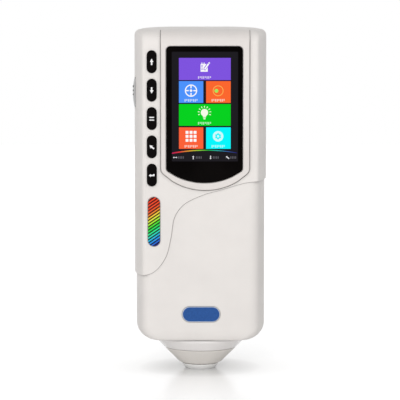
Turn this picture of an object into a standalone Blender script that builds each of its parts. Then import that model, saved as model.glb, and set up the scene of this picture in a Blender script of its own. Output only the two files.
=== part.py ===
"""Handheld colorimeter, standing upright on its measuring tip.

Metres, +Z up.  The measuring axis is the Z axis and the tip stands on Z = 0.  The screen
faces -Y, the measure button is on the -X side, the power switch and sockets are on the +X side.
"""

import bpy
import bmesh
from dataclasses import dataclass, replace
from math import atan2, cos, hypot, pi, radians, sin, sqrt, tan

from mathutils import Matrix, Vector

# Clearances used all over the instrument
GAP = 0.0003                  # between neighbours that touch on the real thing
OVERRUN = 0.0040              # how far a cutter runs past what it cuts
EDGE_BREAK = 0.0004           # small rounding on moulded edges
WELD = 0.00001                # points closer than this become one
SMOOTH_ANGLE = 35.0           # edges sharper than this stay sharp, in degrees
KEEN_ANGLE = 60.0             # only edges sharper than this are rounded on small caps

# Housing, as the three shells share it
OVERALL_HEIGHT = 0.2050
HOUSING_FLOOR = 0.0206
FRONT_Y = -0.0322
TURN_Y = -0.0200              # where the slanting front of the side starts to straighten
PARTING_Y = -0.0040           # plane between the front shells and the back cover
BACK_Y = 0.0335
WIDEST_HALF_WIDTH = 0.03927
SIDE_FLARE = 0.00537          # widest point beyond the edge of the flat front
UPPER_CORNER = 0.0024
LOWER_CORNER = 0.0062
TOP_ROUND = 0.0052
FLOOR_ROUND_ACROSS = 0.0087
FLOOR_ROUND_DEEP = 0.0030
WALL = 0.0025
LOWER_WALL = 0.0030
SIDE_STEP = 0.0010            # lower cover set in from the upper housing at the sides
FRONT_STEP = 0.0004           # the same at the front
BACK_FLAT_HALF = 0.0140
THIN_ROUND = 0.0004           # least rounding left on an inner edge
ROUND_STEPS = 5
SIDE_STEPS = 6
CORNER_STEPS = 5
BACK_STEPS = 9

# Curved seam between the upper housing and the lower cover
SEAM_RIGHT_RISE = 0.0053      # right end above the lowest point of the bezel
SEAM_LEFT_SHARE = 197 / 477   # left end as a share of the way from the floor to the right end
# across as a share of the widest half width, up as a share of the rise from left to right
SEAM_SHARES = (
    (-1.30, 0.000), (-0.86, 0.000), (-0.69, 0.040), (-0.52, 0.195), (-0.44, 0.410),
    (-0.39, 0.615), (-0.27, 0.748), (0.02, 0.870), (0.31, 0.914), (0.56, 0.950),
    (0.73, 0.994), (0.90, 1.000), (1.30, 1.000),
)
SEAM_STEPS = 4
SEAM_TUCK = 0.0080            # how far the shells' blanks reach past the seam before it is cut
LIP_THICKNESS = 0.0012
LIP_ABOVE = 0.0026
LIP_BELOW = 0.0040

# Display
BEZEL_SIDE_MARGIN = 0.0058    # to the right edge of the flat front
BEZEL_KEY_SPACE = 0.0051      # to the middle line of the keys
BEZEL_HEIGHT = 0.0939         # below the housing top
BEZEL_ARC = 0.0370
BEZEL_CORNER = 0.0046
BEZEL_PROUD = 0.0009
BEZEL_RISE = 0.0004
BEZEL_SEAT = 0.0012
BEZEL_REACH = 0.0120          # how far the bezel runs back over the top
WINDOW_SIDE_MARGIN = 0.0034
WINDOW_TOP_MARGIN = 0.00925   # below the housing top
WINDOW_LOW_MARGIN = 0.0045
WINDOW_CORNER = 0.0024
WINDOW_ARC = 0.0384
WINDOW_THICKNESS = 0.0014
VIEW_SIDE_MARGIN = 0.0026     # window edge to the opening behind it
VIEW_TOP_MARGIN = 0.0025
VIEW_HEIGHT = 0.0655
VIEW_CORNER = 0.0010
LCD_MARGIN = 0.0021           # panel beyond the opening on every side
LCD_THICKNESS = 0.0036
LCD_CORNER = 0.0006
ARC_STEPS = 10

# Keys
KEY_NAMES = ("key_up", "key_down", "key_menu", "key_back", "key_enter")
KEY_SIDE_ROOM = 0.0053        # middle line to the left edge of the flat front
KEY_TOP_DROP = 0.0118         # first key below the housing top
KEY_WIDTH = 0.00545
KEY_HEIGHT = 0.0128
KEY_PITCH = 0.0167
KEY_PROUD = 0.0010
KEY_ROUND = 0.0007
KEY_SLOT_GAP = 0.0003
KEY_FLANGE = 0.0008
KEY_TRAVEL = 0.0008
KEY_REST_GAP = 0.0003         # left over between flange and switch at the end of the travel
PILL_STEPS = 7

# Main board and what it carries
BOARD_THICKNESS = 0.0016
BOARD_SIDE_ROOM = 0.0029      # to the edge of the flat front
BOARD_TOP_MARGIN = 0.0005     # above the screen panel
BOARD_BELOW_KEYS = 0.0093     # below the lowest key
BOARD_CORNER = 0.0020
BOARD_BOSS_RADIUS = 0.0018
BOARD_SCREW_RADIUS = 0.0008
BOARD_SCREW_HEAD_RADIUS = 0.0017
BOARD_SCREW_HEAD = 0.0012
BOARD_SCREW_LENGTH = 0.0042
BOARD_BOSS_KEY_SPACE = 0.0064 # left bosses to the middle line of the keys
BOARD_BOSS_EDGE = 0.0030      # right bosses to the edge of the board
BOARD_BOSS_TOP_DROP = 0.0065
BOARD_BOSS_LEFT_RISE = 0.0003 # lower bosses above the lowest point of the bezel
BOARD_BOSS_RIGHT_RISE = 0.0153
SWITCH_HALF_WIDTH = 0.0022
SWITCH_HALF_HEIGHT = 0.0030
SWITCH_PLUNGER_RADIUS = 0.0012
SWITCH_PLUNGER = 0.0004
CHIP_SIZE = 0.0140
CHIP_THICKNESS = 0.0014
CHIP_DROP = 0.0546            # below the housing top

# Measure button on the left side
BUTTON_Y = -0.0125
BUTTON_DROP = 0.0372          # below the housing top
BUTTON_HEIGHT = 0.0172
BUTTON_DEPTH = 0.0080
BUTTON_BULGE = 0.00113        # crown beyond the widest point of the housing
BUTTON_EDGE_DROP = 0.0014     # crown down to the ends of the arc
BUTTON_FLANGE = 0.0010
BUTTON_TRAVEL = 0.0012
BUTTON_ROUND = 0.0007
BUTTON_RIB_PITCH = 0.0020
BUTTON_RIB_WIDTH = 0.0008
BUTTON_RIB_DEPTH = 0.0004
BUTTON_RIB_COUNT = 3
BUTTON_ARC_STEPS = 12
MEASURE_SWITCH_LENGTH = 0.0055
MEASURE_SWITCH_HALF_HEIGHT = 0.0035
MEASURE_PLUNGER_RADIUS = 0.0014
MEASURE_PLUNGER = 0.0006

# Screws and posts that hold the shells together
POST_RADIUS = 0.0040
FRONT_BOSS_RADIUS = 0.0029
SCREW_RADIUS = 0.0013
SCREW_HEAD_RADIUS = 0.0023
SCREW_HEAD = 0.0018
SCREW_SEAT_Y = 0.0060
SCREW_LENGTH = 0.0165
SCREW_END_ROOM = 0.0010
SCREW_PAN_SHARE = 0.4         # height of the head that its crown takes
SCREW_TIP_SHARE = 0.4
TOP_SCREW_SIDE_ROOM = 0.0099  # to the edge of the flat front
TOP_SCREW_DROP = 0.0060       # below the housing top
SCREW_SIDE_ROOM = 0.00877     # screws beside the battery to the side of the back cover
LEFT_SCREW_RISE = 0.0160      # above the left end of the seam
RIGHT_SCREW_UP_SHARE = 17 / 35  # share of the way from the socket board to the seam
LOW_SCREW_SIDE_ROOM = 0.01077
LOW_SCREW_UP_SHARE = 46 / 75  # share of the way from the floor to the socket board
FASTENER_SIDES = 12

# Battery bay and door in the back
DOOR_SCREW_SPACE = 0.0067     # to the screws beside the battery
DOOR_RISE = 0.0614            # above the housing floor
DOOR_HEIGHT = 0.0760
DOOR_THICKNESS = 0.0018
DOOR_GAP = 0.0004
DOOR_LEDGE = 0.0024
DOOR_CATCH_HALF_WIDTH = 0.0040
DOOR_CATCH_THICKNESS = 0.0012
DOOR_CATCH_DEPTH = 0.0030
DOOR_GRIP_COUNT = 4
DOOR_GRIP_PITCH = 0.0022
DOOR_GRIP_WIDTH = 0.0009
DOOR_GRIP_DEPTH = 0.0005
DOOR_GRIP_HALF_LENGTH = 0.0080
DOOR_GRIP_DROP = 0.0060
DOOR_GRIP_END_SHARE = 0.4     # corner radius of a grip groove as a share of its width
BAY_WALL = 0.0016
BATTERY_THICKNESS = 0.0186
BATTERY_BACK_ROOM = 0.0016    # battery to the inside of the door
BATTERY_SIDE_ROOM = 0.0009
BATTERY_END_ROOM = 0.0008
CONTACT_THICKNESS = 0.0008
CONTACT_WIDTH = 0.0060
CONTACT_HEIGHT = 0.0090
CONTACT_SPREAD = 0.0090
BATTERY_STEPS = 10

# Power switch on the right side
ROCKER_Y = 0.0080
ROCKER_DROP = 0.0646          # below the housing top
ROCKER_HALF_LENGTH = 0.0076
ROCKER_HALF_WIDTH = 0.0036
ROCKER_CROWN = 0.0024
ROCKER_VALLEY = 0.0014
ROCKER_BELLY = 0.0030
ROCKER_BELLY_HALF = 0.0030
ROCKER_SHOULDER = 0.0004
ROCKER_PIVOT_DEPTH = 0.0030   # pivot below the outside of the wall
ROCKER_TILT = 8.0
ROCKER_PIN_RADIUS = 0.0009
FRAME_WALL = 0.0012
FRAME_ROOM = 0.0007
FRAME_FLANGE = 0.0012
FRAME_FLANGE_THICKNESS = 0.0008
FRAME_RECESS = 0.0011

# Sockets on the right side
PORT_Y = 0.0080
USB_UP_SHARE = 187 / 477      # share of the way from the floor to the right end of the seam
USB_HALF_LENGTH = 0.0039
USB_HALF_HEIGHT = 0.0020
USB_SKIN = 0.0004
USB_MOUTH_DEPTH = 0.0050
USB_TONGUE_HALF_LENGTH = 0.0026
USB_TONGUE_HALF_HEIGHT = 0.0005
USB_TONGUE_SETBACK = 0.0012
JACK_UP_SHARE = 262 / 477     # the same for the power socket
JACK_HALF = 0.0045
JACK_BARREL_RADIUS = 0.0038
JACK_BORE_RADIUS = 0.0028
JACK_PIN_RADIUS = 0.00105
JACK_BORE_DEPTH = 0.0066
JACK_PIN_SETBACK = 0.0010
PORT_SETBACK = 0.0007         # socket mouths behind the outside of the wall
PORT_BOARD_DEPTH = 0.01107    # board behind the widest point of the back cover
PORT_BOARD_THICKNESS = 0.0014
PORT_BOARD_MARGIN = 0.0035
PORT_RAIL = 0.0018

# Badges on the front
SPECTRUM_SIDE_ROOM = 0.0065   # middle line to the left edge of the flat front
SPECTRUM_LOW_SHARE = 175 / 242  # share of the spare room that lies below the badge
SPECTRUM_WIDTH = 0.0070
SPECTRUM_HEIGHT = 0.0290
SPECTRUM_PROUD = 0.0007
LABEL_X = 0.00045
LABEL_RISE = 0.01615          # above the housing floor
LABEL_WIDTH = 0.0223
LABEL_HEIGHT = 0.0091
LABEL_PROUD = 0.0003
BADGE_SEAT = 0.0006
BADGE_ROUND = 0.0004

# Measuring head, turned about the Z axis
CONE_TIP_RADIUS = 0.00885     # where the 45 degree cone would meet Z = 0
RING_RADIUS = 0.0098
RING_TOP_RADIUS = 0.0112
RING_HEIGHT = 0.0030
RING_ROUND = 0.0008
RING_BORE = 0.0040
RING_THROAT = 0.0052
RING_SHELF = 0.0075
RING_SHELF_DROP = 0.0011
NECK_Z = 0.00405
BAND_Z = 0.0118
RIM_RADIUS = 0.0275
NECK_GROOVE_RADIUS = 0.0237
COLLAR_FLANGE = 0.0024
COLLAR_FLANGE_HEIGHT = 0.0020
CONE_WALL = 0.0019
SPHERE_CLEARANCE = 0.0006
SPHERE_BOTTOM_Z = 0.0024
SPHERE_WALL = 0.0025
SPHERE_FLANGE = 0.0012
SPHERE_FLANGE_HEIGHT = 0.0012
SPHERE_PORT = 0.0046
SPHERE_NECK_RADIUS = 0.0080
SPHERE_NECK_HEIGHT = 0.0022
SPHERE_BORE = 0.0043
SPHERE_STEPS = 5
LAMP_COUNT = 4
LAMP_RADIUS = 0.0025
LAMP_CIRCLE = 0.0117
LAMP_LENGTH = 0.0026
LAMP_BOARD_THICKNESS = 0.0012
LAMP_BOARD_MARGIN = 0.0006
TUBE_RADIUS = 0.0054
TUBE_BORE = 0.0026
TUBE_INSERT = 0.0036
TUBE_RISE = 0.0066
TUBE_POCKET_RADIUS = 0.0043
TUBE_POCKET_DEPTH = 0.0034
LENS_THICKNESS = 0.0014
SENSOR_HALF = 0.0024
SENSOR_BOARD_HALF_X = 0.0140
SENSOR_BOARD_HALF_Y = 0.0110
SENSOR_BOARD_THICKNESS = 0.0014
RIBBON_HALF_WIDTH = 0.0050
RIBBON_THICKNESS = 0.0005
RIBBON_LAP = 0.0040
RIBBON_STEPS = 6
RIBBON_BEND_SHARE = 0.457456  # share of the way up to the main board that the bend takes
TURN_STEPS = 36
INNER_TURN_STEPS = 20

# Sizes worked out from the ones above
HOUSING_TOP = OVERALL_HEIGHT - BEZEL_RISE
LOWER_HALF_WIDTH = WIDEST_HALF_WIDTH - SIDE_STEP
FRONT_HALF_WIDTH = WIDEST_HALF_WIDTH - SIDE_FLARE
FRONT_INSIDE_Y = FRONT_Y + WALL
KEY_X = KEY_SIDE_ROOM - FRONT_HALF_WIDTH
KEY_TOP_Z = HOUSING_TOP - KEY_TOP_DROP
BEZEL_RIGHT_X = FRONT_HALF_WIDTH - BEZEL_SIDE_MARGIN
BEZEL_LEFT_X = KEY_X + BEZEL_KEY_SPACE
BEZEL_CENTRE_X = (BEZEL_RIGHT_X + BEZEL_LEFT_X) / 2
BEZEL_HALF_WIDTH = (BEZEL_RIGHT_X - BEZEL_LEFT_X) / 2
BEZEL_LOW_Z = HOUSING_TOP - BEZEL_HEIGHT
WINDOW_TOP_Z = HOUSING_TOP - WINDOW_TOP_MARGIN
SEAM_RIGHT_Z = BEZEL_LOW_Z + SEAM_RIGHT_RISE
SEAM_LEFT_Z = HOUSING_FLOOR + (SEAM_RIGHT_Z - HOUSING_FLOOR) * SEAM_LEFT_SHARE
BOARD_HALF_WIDTH = FRONT_HALF_WIDTH - BOARD_SIDE_ROOM
BOARD_BOSS_INNER_X = KEY_X + BOARD_BOSS_KEY_SPACE
BOARD_BOSS_OUTER_X = BOARD_HALF_WIDTH - BOARD_BOSS_EDGE
BOARD_BOSS_LOW_LEFT_Z = BEZEL_LOW_Z + BOARD_BOSS_LEFT_RISE
BOARD_BOSS_LOW_RIGHT_Z = BEZEL_LOW_Z + BOARD_BOSS_RIGHT_RISE
CHIP_Z = HOUSING_TOP - CHIP_DROP
BUTTON_Z = HOUSING_TOP - BUTTON_DROP
BUTTON_CROWN_X = -(WIDEST_HALF_WIDTH + BUTTON_BULGE)
TOP_SCREW_X = FRONT_HALF_WIDTH - TOP_SCREW_SIDE_ROOM
RIGHT_SCREW_X = LOWER_HALF_WIDTH - SCREW_SIDE_ROOM
LEFT_SCREW_X = -RIGHT_SCREW_X
LOW_SCREW_X = LOWER_HALF_WIDTH - LOW_SCREW_SIDE_ROOM
LEFT_SCREW_Z = SEAM_LEFT_Z + LEFT_SCREW_RISE
DOOR_HALF_WIDTH = RIGHT_SCREW_X - DOOR_SCREW_SPACE
DOOR_LOW_Z = HOUSING_FLOOR + DOOR_RISE
ROCKER_Z = HOUSING_TOP - ROCKER_DROP
USB_Z = HOUSING_FLOOR + (SEAM_RIGHT_Z - HOUSING_FLOOR) * USB_UP_SHARE
JACK_Z = HOUSING_FLOOR + (SEAM_RIGHT_Z - HOUSING_FLOOR) * JACK_UP_SHARE
PORT_BOARD_TOP_Z = JACK_Z + JACK_HALF + PORT_BOARD_MARGIN
PORT_BOARD_LOW_Z = USB_Z - USB_HALF_LENGTH - PORT_BOARD_MARGIN
RIGHT_SCREW_Z = PORT_BOARD_TOP_Z + (SEAM_RIGHT_Z - PORT_BOARD_TOP_Z) * RIGHT_SCREW_UP_SHARE
LOW_SCREW_Z = HOUSING_FLOOR + (PORT_BOARD_LOW_Z - HOUSING_FLOOR) * LOW_SCREW_UP_SHARE
PORT_BOARD_X = LOWER_HALF_WIDTH - PORT_BOARD_DEPTH
KEY_BOTTOM_Z = KEY_TOP_Z - KEY_HEIGHT - (len(KEY_NAMES) - 1) * KEY_PITCH
SPECTRUM_X = SPECTRUM_SIDE_ROOM - FRONT_HALF_WIDTH
SPECTRUM_ROOM = KEY_BOTTOM_Z - SEAM_LEFT_Z - SPECTRUM_HEIGHT
SPECTRUM_Z = SEAM_LEFT_Z + SPECTRUM_ROOM * SPECTRUM_LOW_SHARE + SPECTRUM_HEIGHT / 2
LABEL_Z = HOUSING_FLOOR + LABEL_RISE
BOARD_FRONT_Y = FRONT_INSIDE_Y + GAP + LCD_THICKNESS + GAP
BOARD_BACK_Y = BOARD_FRONT_Y + BOARD_THICKNESS
HALF_SQRT = sqrt(0.5)
SPHERE_RADIUS = ((SPHERE_BOTTOM_Z + CONE_TIP_RADIUS) * HALF_SQRT - CONE_WALL - SPHERE_CLEARANCE) \
    / (1 - HALF_SQRT)
SPHERE_Z = SPHERE_BOTTOM_Z + SPHERE_RADIUS
COLOURS = {
    "white_plastic": ((0.84, 0.82, 0.80), 0.38, 0.0),
    "warm_white_plastic": ((0.80, 0.77, 0.74), 0.35, 0.0),
    "grey_plastic": ((0.46, 0.46, 0.46), 0.45, 0.0),
    "black_rubber": ((0.012, 0.011, 0.011), 0.45, 0.0),
    "black_plastic": ((0.02, 0.02, 0.02), 0.5, 0.0),
    "black_glass": ((0.006, 0.003, 0.004), 0.06, 0.0),
    "screen": ((0.03, 0.03, 0.04), 0.3, 0.0),
    "board_green": ((0.02, 0.16, 0.07), 0.5, 0.0),
    "steel": ((0.62, 0.62, 0.62), 0.3, 1.0),
    "brass": ((0.75, 0.58, 0.25), 0.35, 1.0),
    "battery_sleeve": ((0.04, 0.11, 0.35), 0.4, 0.0),
    "blue_badge": ((0.035, 0.12, 0.38), 0.2, 0.0),
    "spectrum_badge": ((0.55, 0.45, 0.10), 0.15, 0.0),
    "sphere_white": ((0.88, 0.88, 0.86), 0.8, 0.0),
    "lamp_clear": ((0.9, 0.88, 0.7), 0.15, 0.0),
    "lens_glass": ((0.75, 0.8, 0.85), 0.05, 0.0),
    "ribbon": ((0.65, 0.60, 0.50), 0.5, 0.0),
}


# Scene and object helpers

def clear_scene():
    """Remove every object that the file starts with."""
    for item in list(bpy.data.objects):
        bpy.data.objects.remove(item, do_unlink=True)


def new_collection(name):
    collection = bpy.data.collections.new(name)
    bpy.context.scene.collection.children.link(collection)
    return collection


def finish_material(name):
    """One Principled material of a named finish, made once."""
    found = bpy.data.materials.get(name)
    if found:
        return found
    colour, roughness, metallic = COLOURS[name]
    made = bpy.data.materials.new(name)
    made.use_nodes = True
    shader = made.node_tree.nodes["Principled BSDF"]
    shader.inputs["Base Color"].default_value = (*colour, 1.0)
    shader.inputs["Roughness"].default_value = roughness
    shader.inputs["Metallic"].default_value = metallic
    return made


def mesh_object(name, bm):
    """Turn a bmesh into an object that is in no collection yet."""
    bmesh.ops.recalc_face_normals(bm, faces=bm.faces)
    mesh = bpy.data.meshes.new(name)
    bm.to_mesh(mesh)
    bm.free()
    return bpy.data.objects.new(name, mesh)


def as_cutter(item):
    """Keep a shape as a Boolean operand: linked, but not part of the model."""
    CUTTERS.objects.link(item)
    item.hide_render = True
    item.display_type = "WIRE"
    return item


def as_part(item, finish, parent=None):
    """Keep a shape as a piece of the instrument with its own material."""
    item.data.materials.clear()
    item.data.materials.append(finish_material(finish))
    PARTS.objects.link(item)
    item.parent = parent or ASSEMBLY
    return item


def boolean(target, operand, operation):
    """Add an exact Boolean of one shape with another."""
    step = target.modifiers.new(operation.lower() + "_" + operand.name, "BOOLEAN")
    step.operation = operation
    step.solver = "EXACT"
    step.object = operand
    return target


def cut(target, *operands):
    for operand in operands:
        boolean(target, as_cutter(operand), "DIFFERENCE")
    return target


def join(target, *operands):
    for operand in operands:
        boolean(target, as_cutter(operand), "UNION")
    return target


def keep_inside(target, *operands):
    for operand in operands:
        boolean(target, as_cutter(operand), "INTERSECT")
    return target


def round_edges(item, width, segments=2, angle=SMOOTH_ANGLE):
    """Bevel the sharp edges of a piece."""
    bevel = item.modifiers.new("rounding", "BEVEL")
    bevel.width = width
    bevel.segments = segments
    bevel.limit_method = "ANGLE"
    bevel.angle_limit = radians(angle)
    return item


def move_origin(item, point):
    """Put a piece's origin on its joint without moving the piece."""
    item.data.transform(Matrix.Translation(-Vector(point)))
    item.location = point
    return item


# Shapes

def box(name, low, high):
    """Rectangular block between two corners."""
    bm = bmesh.new()
    bmesh.ops.create_cube(bm, size=1.0)
    low, high = Vector(low), Vector(high)
    size = high - low
    bmesh.ops.scale(bm, vec=size, verts=bm.verts)
    bmesh.ops.translate(bm, vec=(low + high) / 2, verts=bm.verts)
    return mesh_object(name, bm)


AXIS_TURNS = {
    "X": Matrix.Rotation(pi / 2, 4, "Y"),
    "Y": Matrix.Rotation(-pi / 2, 4, "X"),
    "Z": Matrix.Identity(4),
}


def cylinders(name, centres, radius, axis, low, high, sides=FASTENER_SIDES):
    """Equal cylinders along one axis, each a separate body of one object."""
    bm = bmesh.new()
    index = "XYZ".index(axis)
    for centre in centres:
        middle = Vector(centre)
        middle[index] = (low + high) / 2
        bmesh.ops.create_cone(bm, cap_ends=True, segments=sides, radius1=radius, radius2=radius,
                              depth=high - low, matrix=Matrix.Translation(middle) @ AXIS_TURNS[axis])
    return mesh_object(name, bm)


PRISM_TURNS = {
    "X": Matrix(((0, 0, 1, 0), (1, 0, 0, 0), (0, 1, 0, 0), (0, 0, 0, 1))),
    "Y": Matrix(((1, 0, 0, 0), (0, 0, -1, 0), (0, 1, 0, 0), (0, 0, 0, 1))),
    "Z": Matrix.Identity(4),
}


def prism(name, outlines, axis, low, high):
    """Extrude flat outlines along an axis.

    An outline lists (y, z) for axis X, (x, z) for axis Y and (x, y) for axis Z.
    """
    curve = bpy.data.curves.new(name, "CURVE")
    curve.dimensions = "2D"
    curve.fill_mode = "BOTH"
    curve.extrude = (high - low) / 2
    for outline in outlines:
        spline = curve.splines.new("POLY")
        spline.points.add(len(outline) - 1)
        for point, (across, up) in zip(spline.points, outline):
            point.co = (across, up, 0, 1)
        spline.use_cyclic_u = True
    item = bpy.data.objects.new(name, curve)
    offset = [0, 0, 0]
    offset["XYZ".index(axis)] = (low + high) / 2
    item.matrix_world = Matrix.Translation(offset) @ PRISM_TURNS[axis]
    bm = bmesh.new()
    bm.from_mesh(worked_mesh(item))
    bmesh.ops.remove_doubles(bm, verts=bm.verts, dist=WELD)
    return mesh_object(name, bm)



def worked_mesh(item):
    """Evaluate an object for a moment and return its finished mesh in world space."""
    bpy.context.scene.collection.objects.link(item)
    bpy.context.view_layer.update()
    mesh = bpy.data.meshes.new_from_object(item.evaluated_get(bpy.context.evaluated_depsgraph_get()))
    mesh.transform(item.matrix_world)
    bpy.data.objects.remove(item, do_unlink=True)
    return mesh


def applied(item):
    """The same piece with its modifiers worked in."""
    name = item.name
    mesh = worked_mesh(item)
    made = bpy.data.objects.new(name, mesh)
    made.name = name
    return made


def turned(name, profile, steps=TURN_STEPS):
    """Turn a closed (radius, z) profile about the Z axis with a Screw modifier."""
    mesh = bpy.data.meshes.new(name)
    count = len(profile)
    mesh.from_pydata([(radius, 0, z) for radius, z in profile],
                     [(i, (i + 1) % count) for i in range(count)], [])
    item = bpy.data.objects.new(name, mesh)
    screw = item.modifiers.new("turn", "SCREW")
    screw.axis = "Z"
    screw.angle = 2 * pi
    screw.steps = steps
    screw.render_steps = steps
    screw.use_merge_vertices = True
    screw.merge_threshold = WELD
    bm = bmesh.new()
    bm.from_mesh(worked_mesh(item))
    bmesh.ops.remove_doubles(bm, verts=bm.verts, dist=WELD)
    return mesh_object(name, bm)


def placed_copies(name, item, transforms, finish):
    """Numbered pieces that share one mesh, such as the screws of a set."""
    pieces = []
    for number, transform in enumerate(transforms, 1):
        piece = bpy.data.objects.new("%s_%d" % (name, number), item.data)
        piece.matrix_world = transform
        pieces.append(as_part(piece, finish))
    bpy.data.objects.remove(item, do_unlink=True)
    return pieces


def arc_points(centre, radius, start, end, steps):
    """Points on an arc, angles in degrees."""
    angles = [radians(start + (end - start) * i / steps) for i in range(steps + 1)]
    return [(centre[0] + radius * cos(a), centre[1] + radius * sin(a)) for a in angles]


def pill(centre, width, height, steps=PILL_STEPS):
    """Outline with straight long sides and half-round ends."""
    radius = min(width, height) / 2
    x, z = centre
    if height >= width:
        run = height / 2 - radius
        return arc_points((x, z + run), radius, 0, 180, steps) \
            + arc_points((x, z - run), radius, 180, 360, steps)
    run = width / 2 - radius
    return arc_points((x + run, z), radius, -90, 90, steps) \
        + arc_points((x - run, z), radius, 90, 270, steps)


def rounded_rectangle(low, high, radius, steps=CORNER_STEPS):
    """Rectangle outline with round corners."""
    corners = (((high[0], high[1]), 0), ((low[0], high[1]), 90),
               ((low[0], low[1]), 180), ((high[0], low[1]), 270))
    points = []
    for (x, z), start in corners:
        centre = (x - radius if x == high[0] else x + radius, z - radius if z == high[1] else z + radius)
        points += arc_points(centre, radius, start, start + 90, steps)
    return points


def fillet(before, corner, after, radius, steps):
    """Arc that replaces the corner between two straight lines."""
    corner = Vector(corner)
    first = (Vector(before) - corner).normalized()
    second = (Vector(after) - corner).normalized()
    half_angle = first.angle(second) / 2
    reach = radius / tan(half_angle)
    middle = corner + (first + second).normalized() * (radius / sin(half_angle))
    start = corner + first * reach - middle
    end = corner + second * reach - middle
    turn = start.angle_signed(end)
    return [tuple(middle + Matrix.Rotation(-turn * i / steps, 2) @ start) for i in range(steps + 1)]


def shield(centre_x, half_width, top_z, low_z, arc, top_corner, low_corner):
    """Outline of the display: straight sides, round corners and a bowed lower edge."""
    rise = arc - sqrt(arc * arc - half_width * half_width)
    left, right = (-half_width, low_z + rise), (half_width, low_z + rise)
    spread = atan2(half_width, arc - rise) * 180 / pi
    inner = spread * (ARC_STEPS - 3) / ARC_STEPS
    bow = arc_points((0, low_z + arc), arc, -90 - inner, -90 + inner, ARC_STEPS)
    outline = bow + fillet(bow[-1], right, (half_width, top_z), low_corner, CORNER_STEPS)
    if top_corner > 0:
        outline += fillet((half_width, low_z), (half_width, top_z), (0, top_z), top_corner, CORNER_STEPS)
        outline += fillet((0, top_z), (-half_width, top_z), (-half_width, low_z), top_corner, CORNER_STEPS)
    else:
        outline += [(half_width, top_z), (-half_width, top_z)]
    outline += fillet((-half_width, top_z), left, bow[0], low_corner, CORNER_STEPS)
    return [(centre_x + x, z) for x, z in outline]


def loft(name, loops):
    """Skin closed loops that all have the same number of points, and cap both ends."""
    bm = bmesh.new()
    rings = [[bm.verts.new(point) for point in loop] for loop in loops]
    count = len(rings[0])
    for lower, upper in zip(rings, rings[1:]):
        for i in range(count):
            after = (i + 1) % count
            bm.faces.new((lower[i], lower[after], upper[after], upper[i]))
    bm.faces.new(reversed(rings[0]))
    bm.faces.new(rings[-1])
    return mesh_object(name, bm)


def smooth_path(knots, steps):
    """Centripetal Catmull and Rom curve through the knots, ends included."""
    points = [Vector(knot) for knot in knots]
    points = [2 * points[0] - points[1]] + points + [2 * points[-1] - points[-2]]
    path = []
    for a, b, c, d in zip(points, points[1:], points[2:], points[3:]):
        t1 = sqrt((b - a).length)
        t2 = t1 + sqrt((c - b).length)
        t3 = t2 + sqrt((d - c).length)
        for i in range(steps):
            t = t1 + (t2 - t1) * i / steps
            ab = a * ((t1 - t) / t1) + b * (t / t1)
            bc = b * ((t2 - t) / (t2 - t1)) + c * ((t - t1) / (t2 - t1))
            cd = c * ((t3 - t) / (t3 - t2)) + d * ((t - t2) / (t3 - t2))
            abc = ab * ((t2 - t) / t2) + bc * (t / t2)
            bcd = bc * ((t3 - t) / (t3 - t1)) + cd * ((t - t1) / (t3 - t1))
            path.append(abc * ((t2 - t) / (t2 - t1)) + bcd * ((t - t1) / (t2 - t1)))
    path.append(points[-2])
    return path


def offset_path(path, distance):
    """Shift a path sideways, to its left for a positive distance."""
    shifted = []
    for i, point in enumerate(path):
        along = (path[min(i + 1, len(path) - 1)] - path[max(i - 1, 0)]).normalized()
        shifted.append(point + Vector((-along.y, along.x)) * distance)
    return shifted


# Outer forms of the shells

@dataclass(frozen=True)
class FrontForm:
    """Form of a front shell: flat front, slanting sides and rounded ends."""

    front_half: float
    widest_half: float
    front_y: float
    turn_y: float
    parting_y: float
    corner: float
    low_z: float
    high_z: float
    low_across: float
    low_deep: float
    high_round: float

    def inset(self, wall):
        """The same form, smaller by a wall thickness all round."""
        return replace(
            self, front_half=self.front_half - wall, widest_half=self.widest_half - wall,
            front_y=self.front_y + wall, corner=max(self.corner - wall, THIN_ROUND),
            low_z=self.low_z + wall, high_z=self.high_z - wall,
            low_across=max(self.low_across - wall, THIN_ROUND) if self.low_across else 0,
            low_deep=max(self.low_deep - wall, THIN_ROUND) if self.low_deep else 0,
            high_round=max(self.high_round - wall, THIN_ROUND) if self.high_round else 0)

    def plan(self, across, deep, closing_y):
        """Outline at one height, drawn in by the rounding there."""
        half, front = self.front_half - across, self.front_y + deep
        widest = self.widest_half - across
        turn = (widest, self.turn_y)
        corner = fillet((0, front), (half, front), turn, self.corner, CORNER_STEPS)
        start = Vector(corner[-1])
        side = []
        for i in range(1, SIDE_STEPS + 1):
            t = i / SIDE_STEPS
            point = start * (1 - t) ** 2 + Vector(turn) * 2 * t * (1 - t)
            side.append(tuple(point + Vector((widest, self.parting_y)) * t * t))
        right = corner + side
        if closing_y != self.parting_y:
            right.append((widest, closing_y))
        return right + [(-x, y) for x, y in reversed(right)]

    def solid(self, name, closing_y=None):
        closing_y = self.parting_y if closing_y is None else closing_y
        levels = rounded_levels(self.low_z, self.high_z, self.low_across, self.low_deep, self.high_round)
        return loft(name, [[(x, y, z) for x, y in self.plan(across, deep, closing_y)]
                           for z, across, deep in levels])


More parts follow.
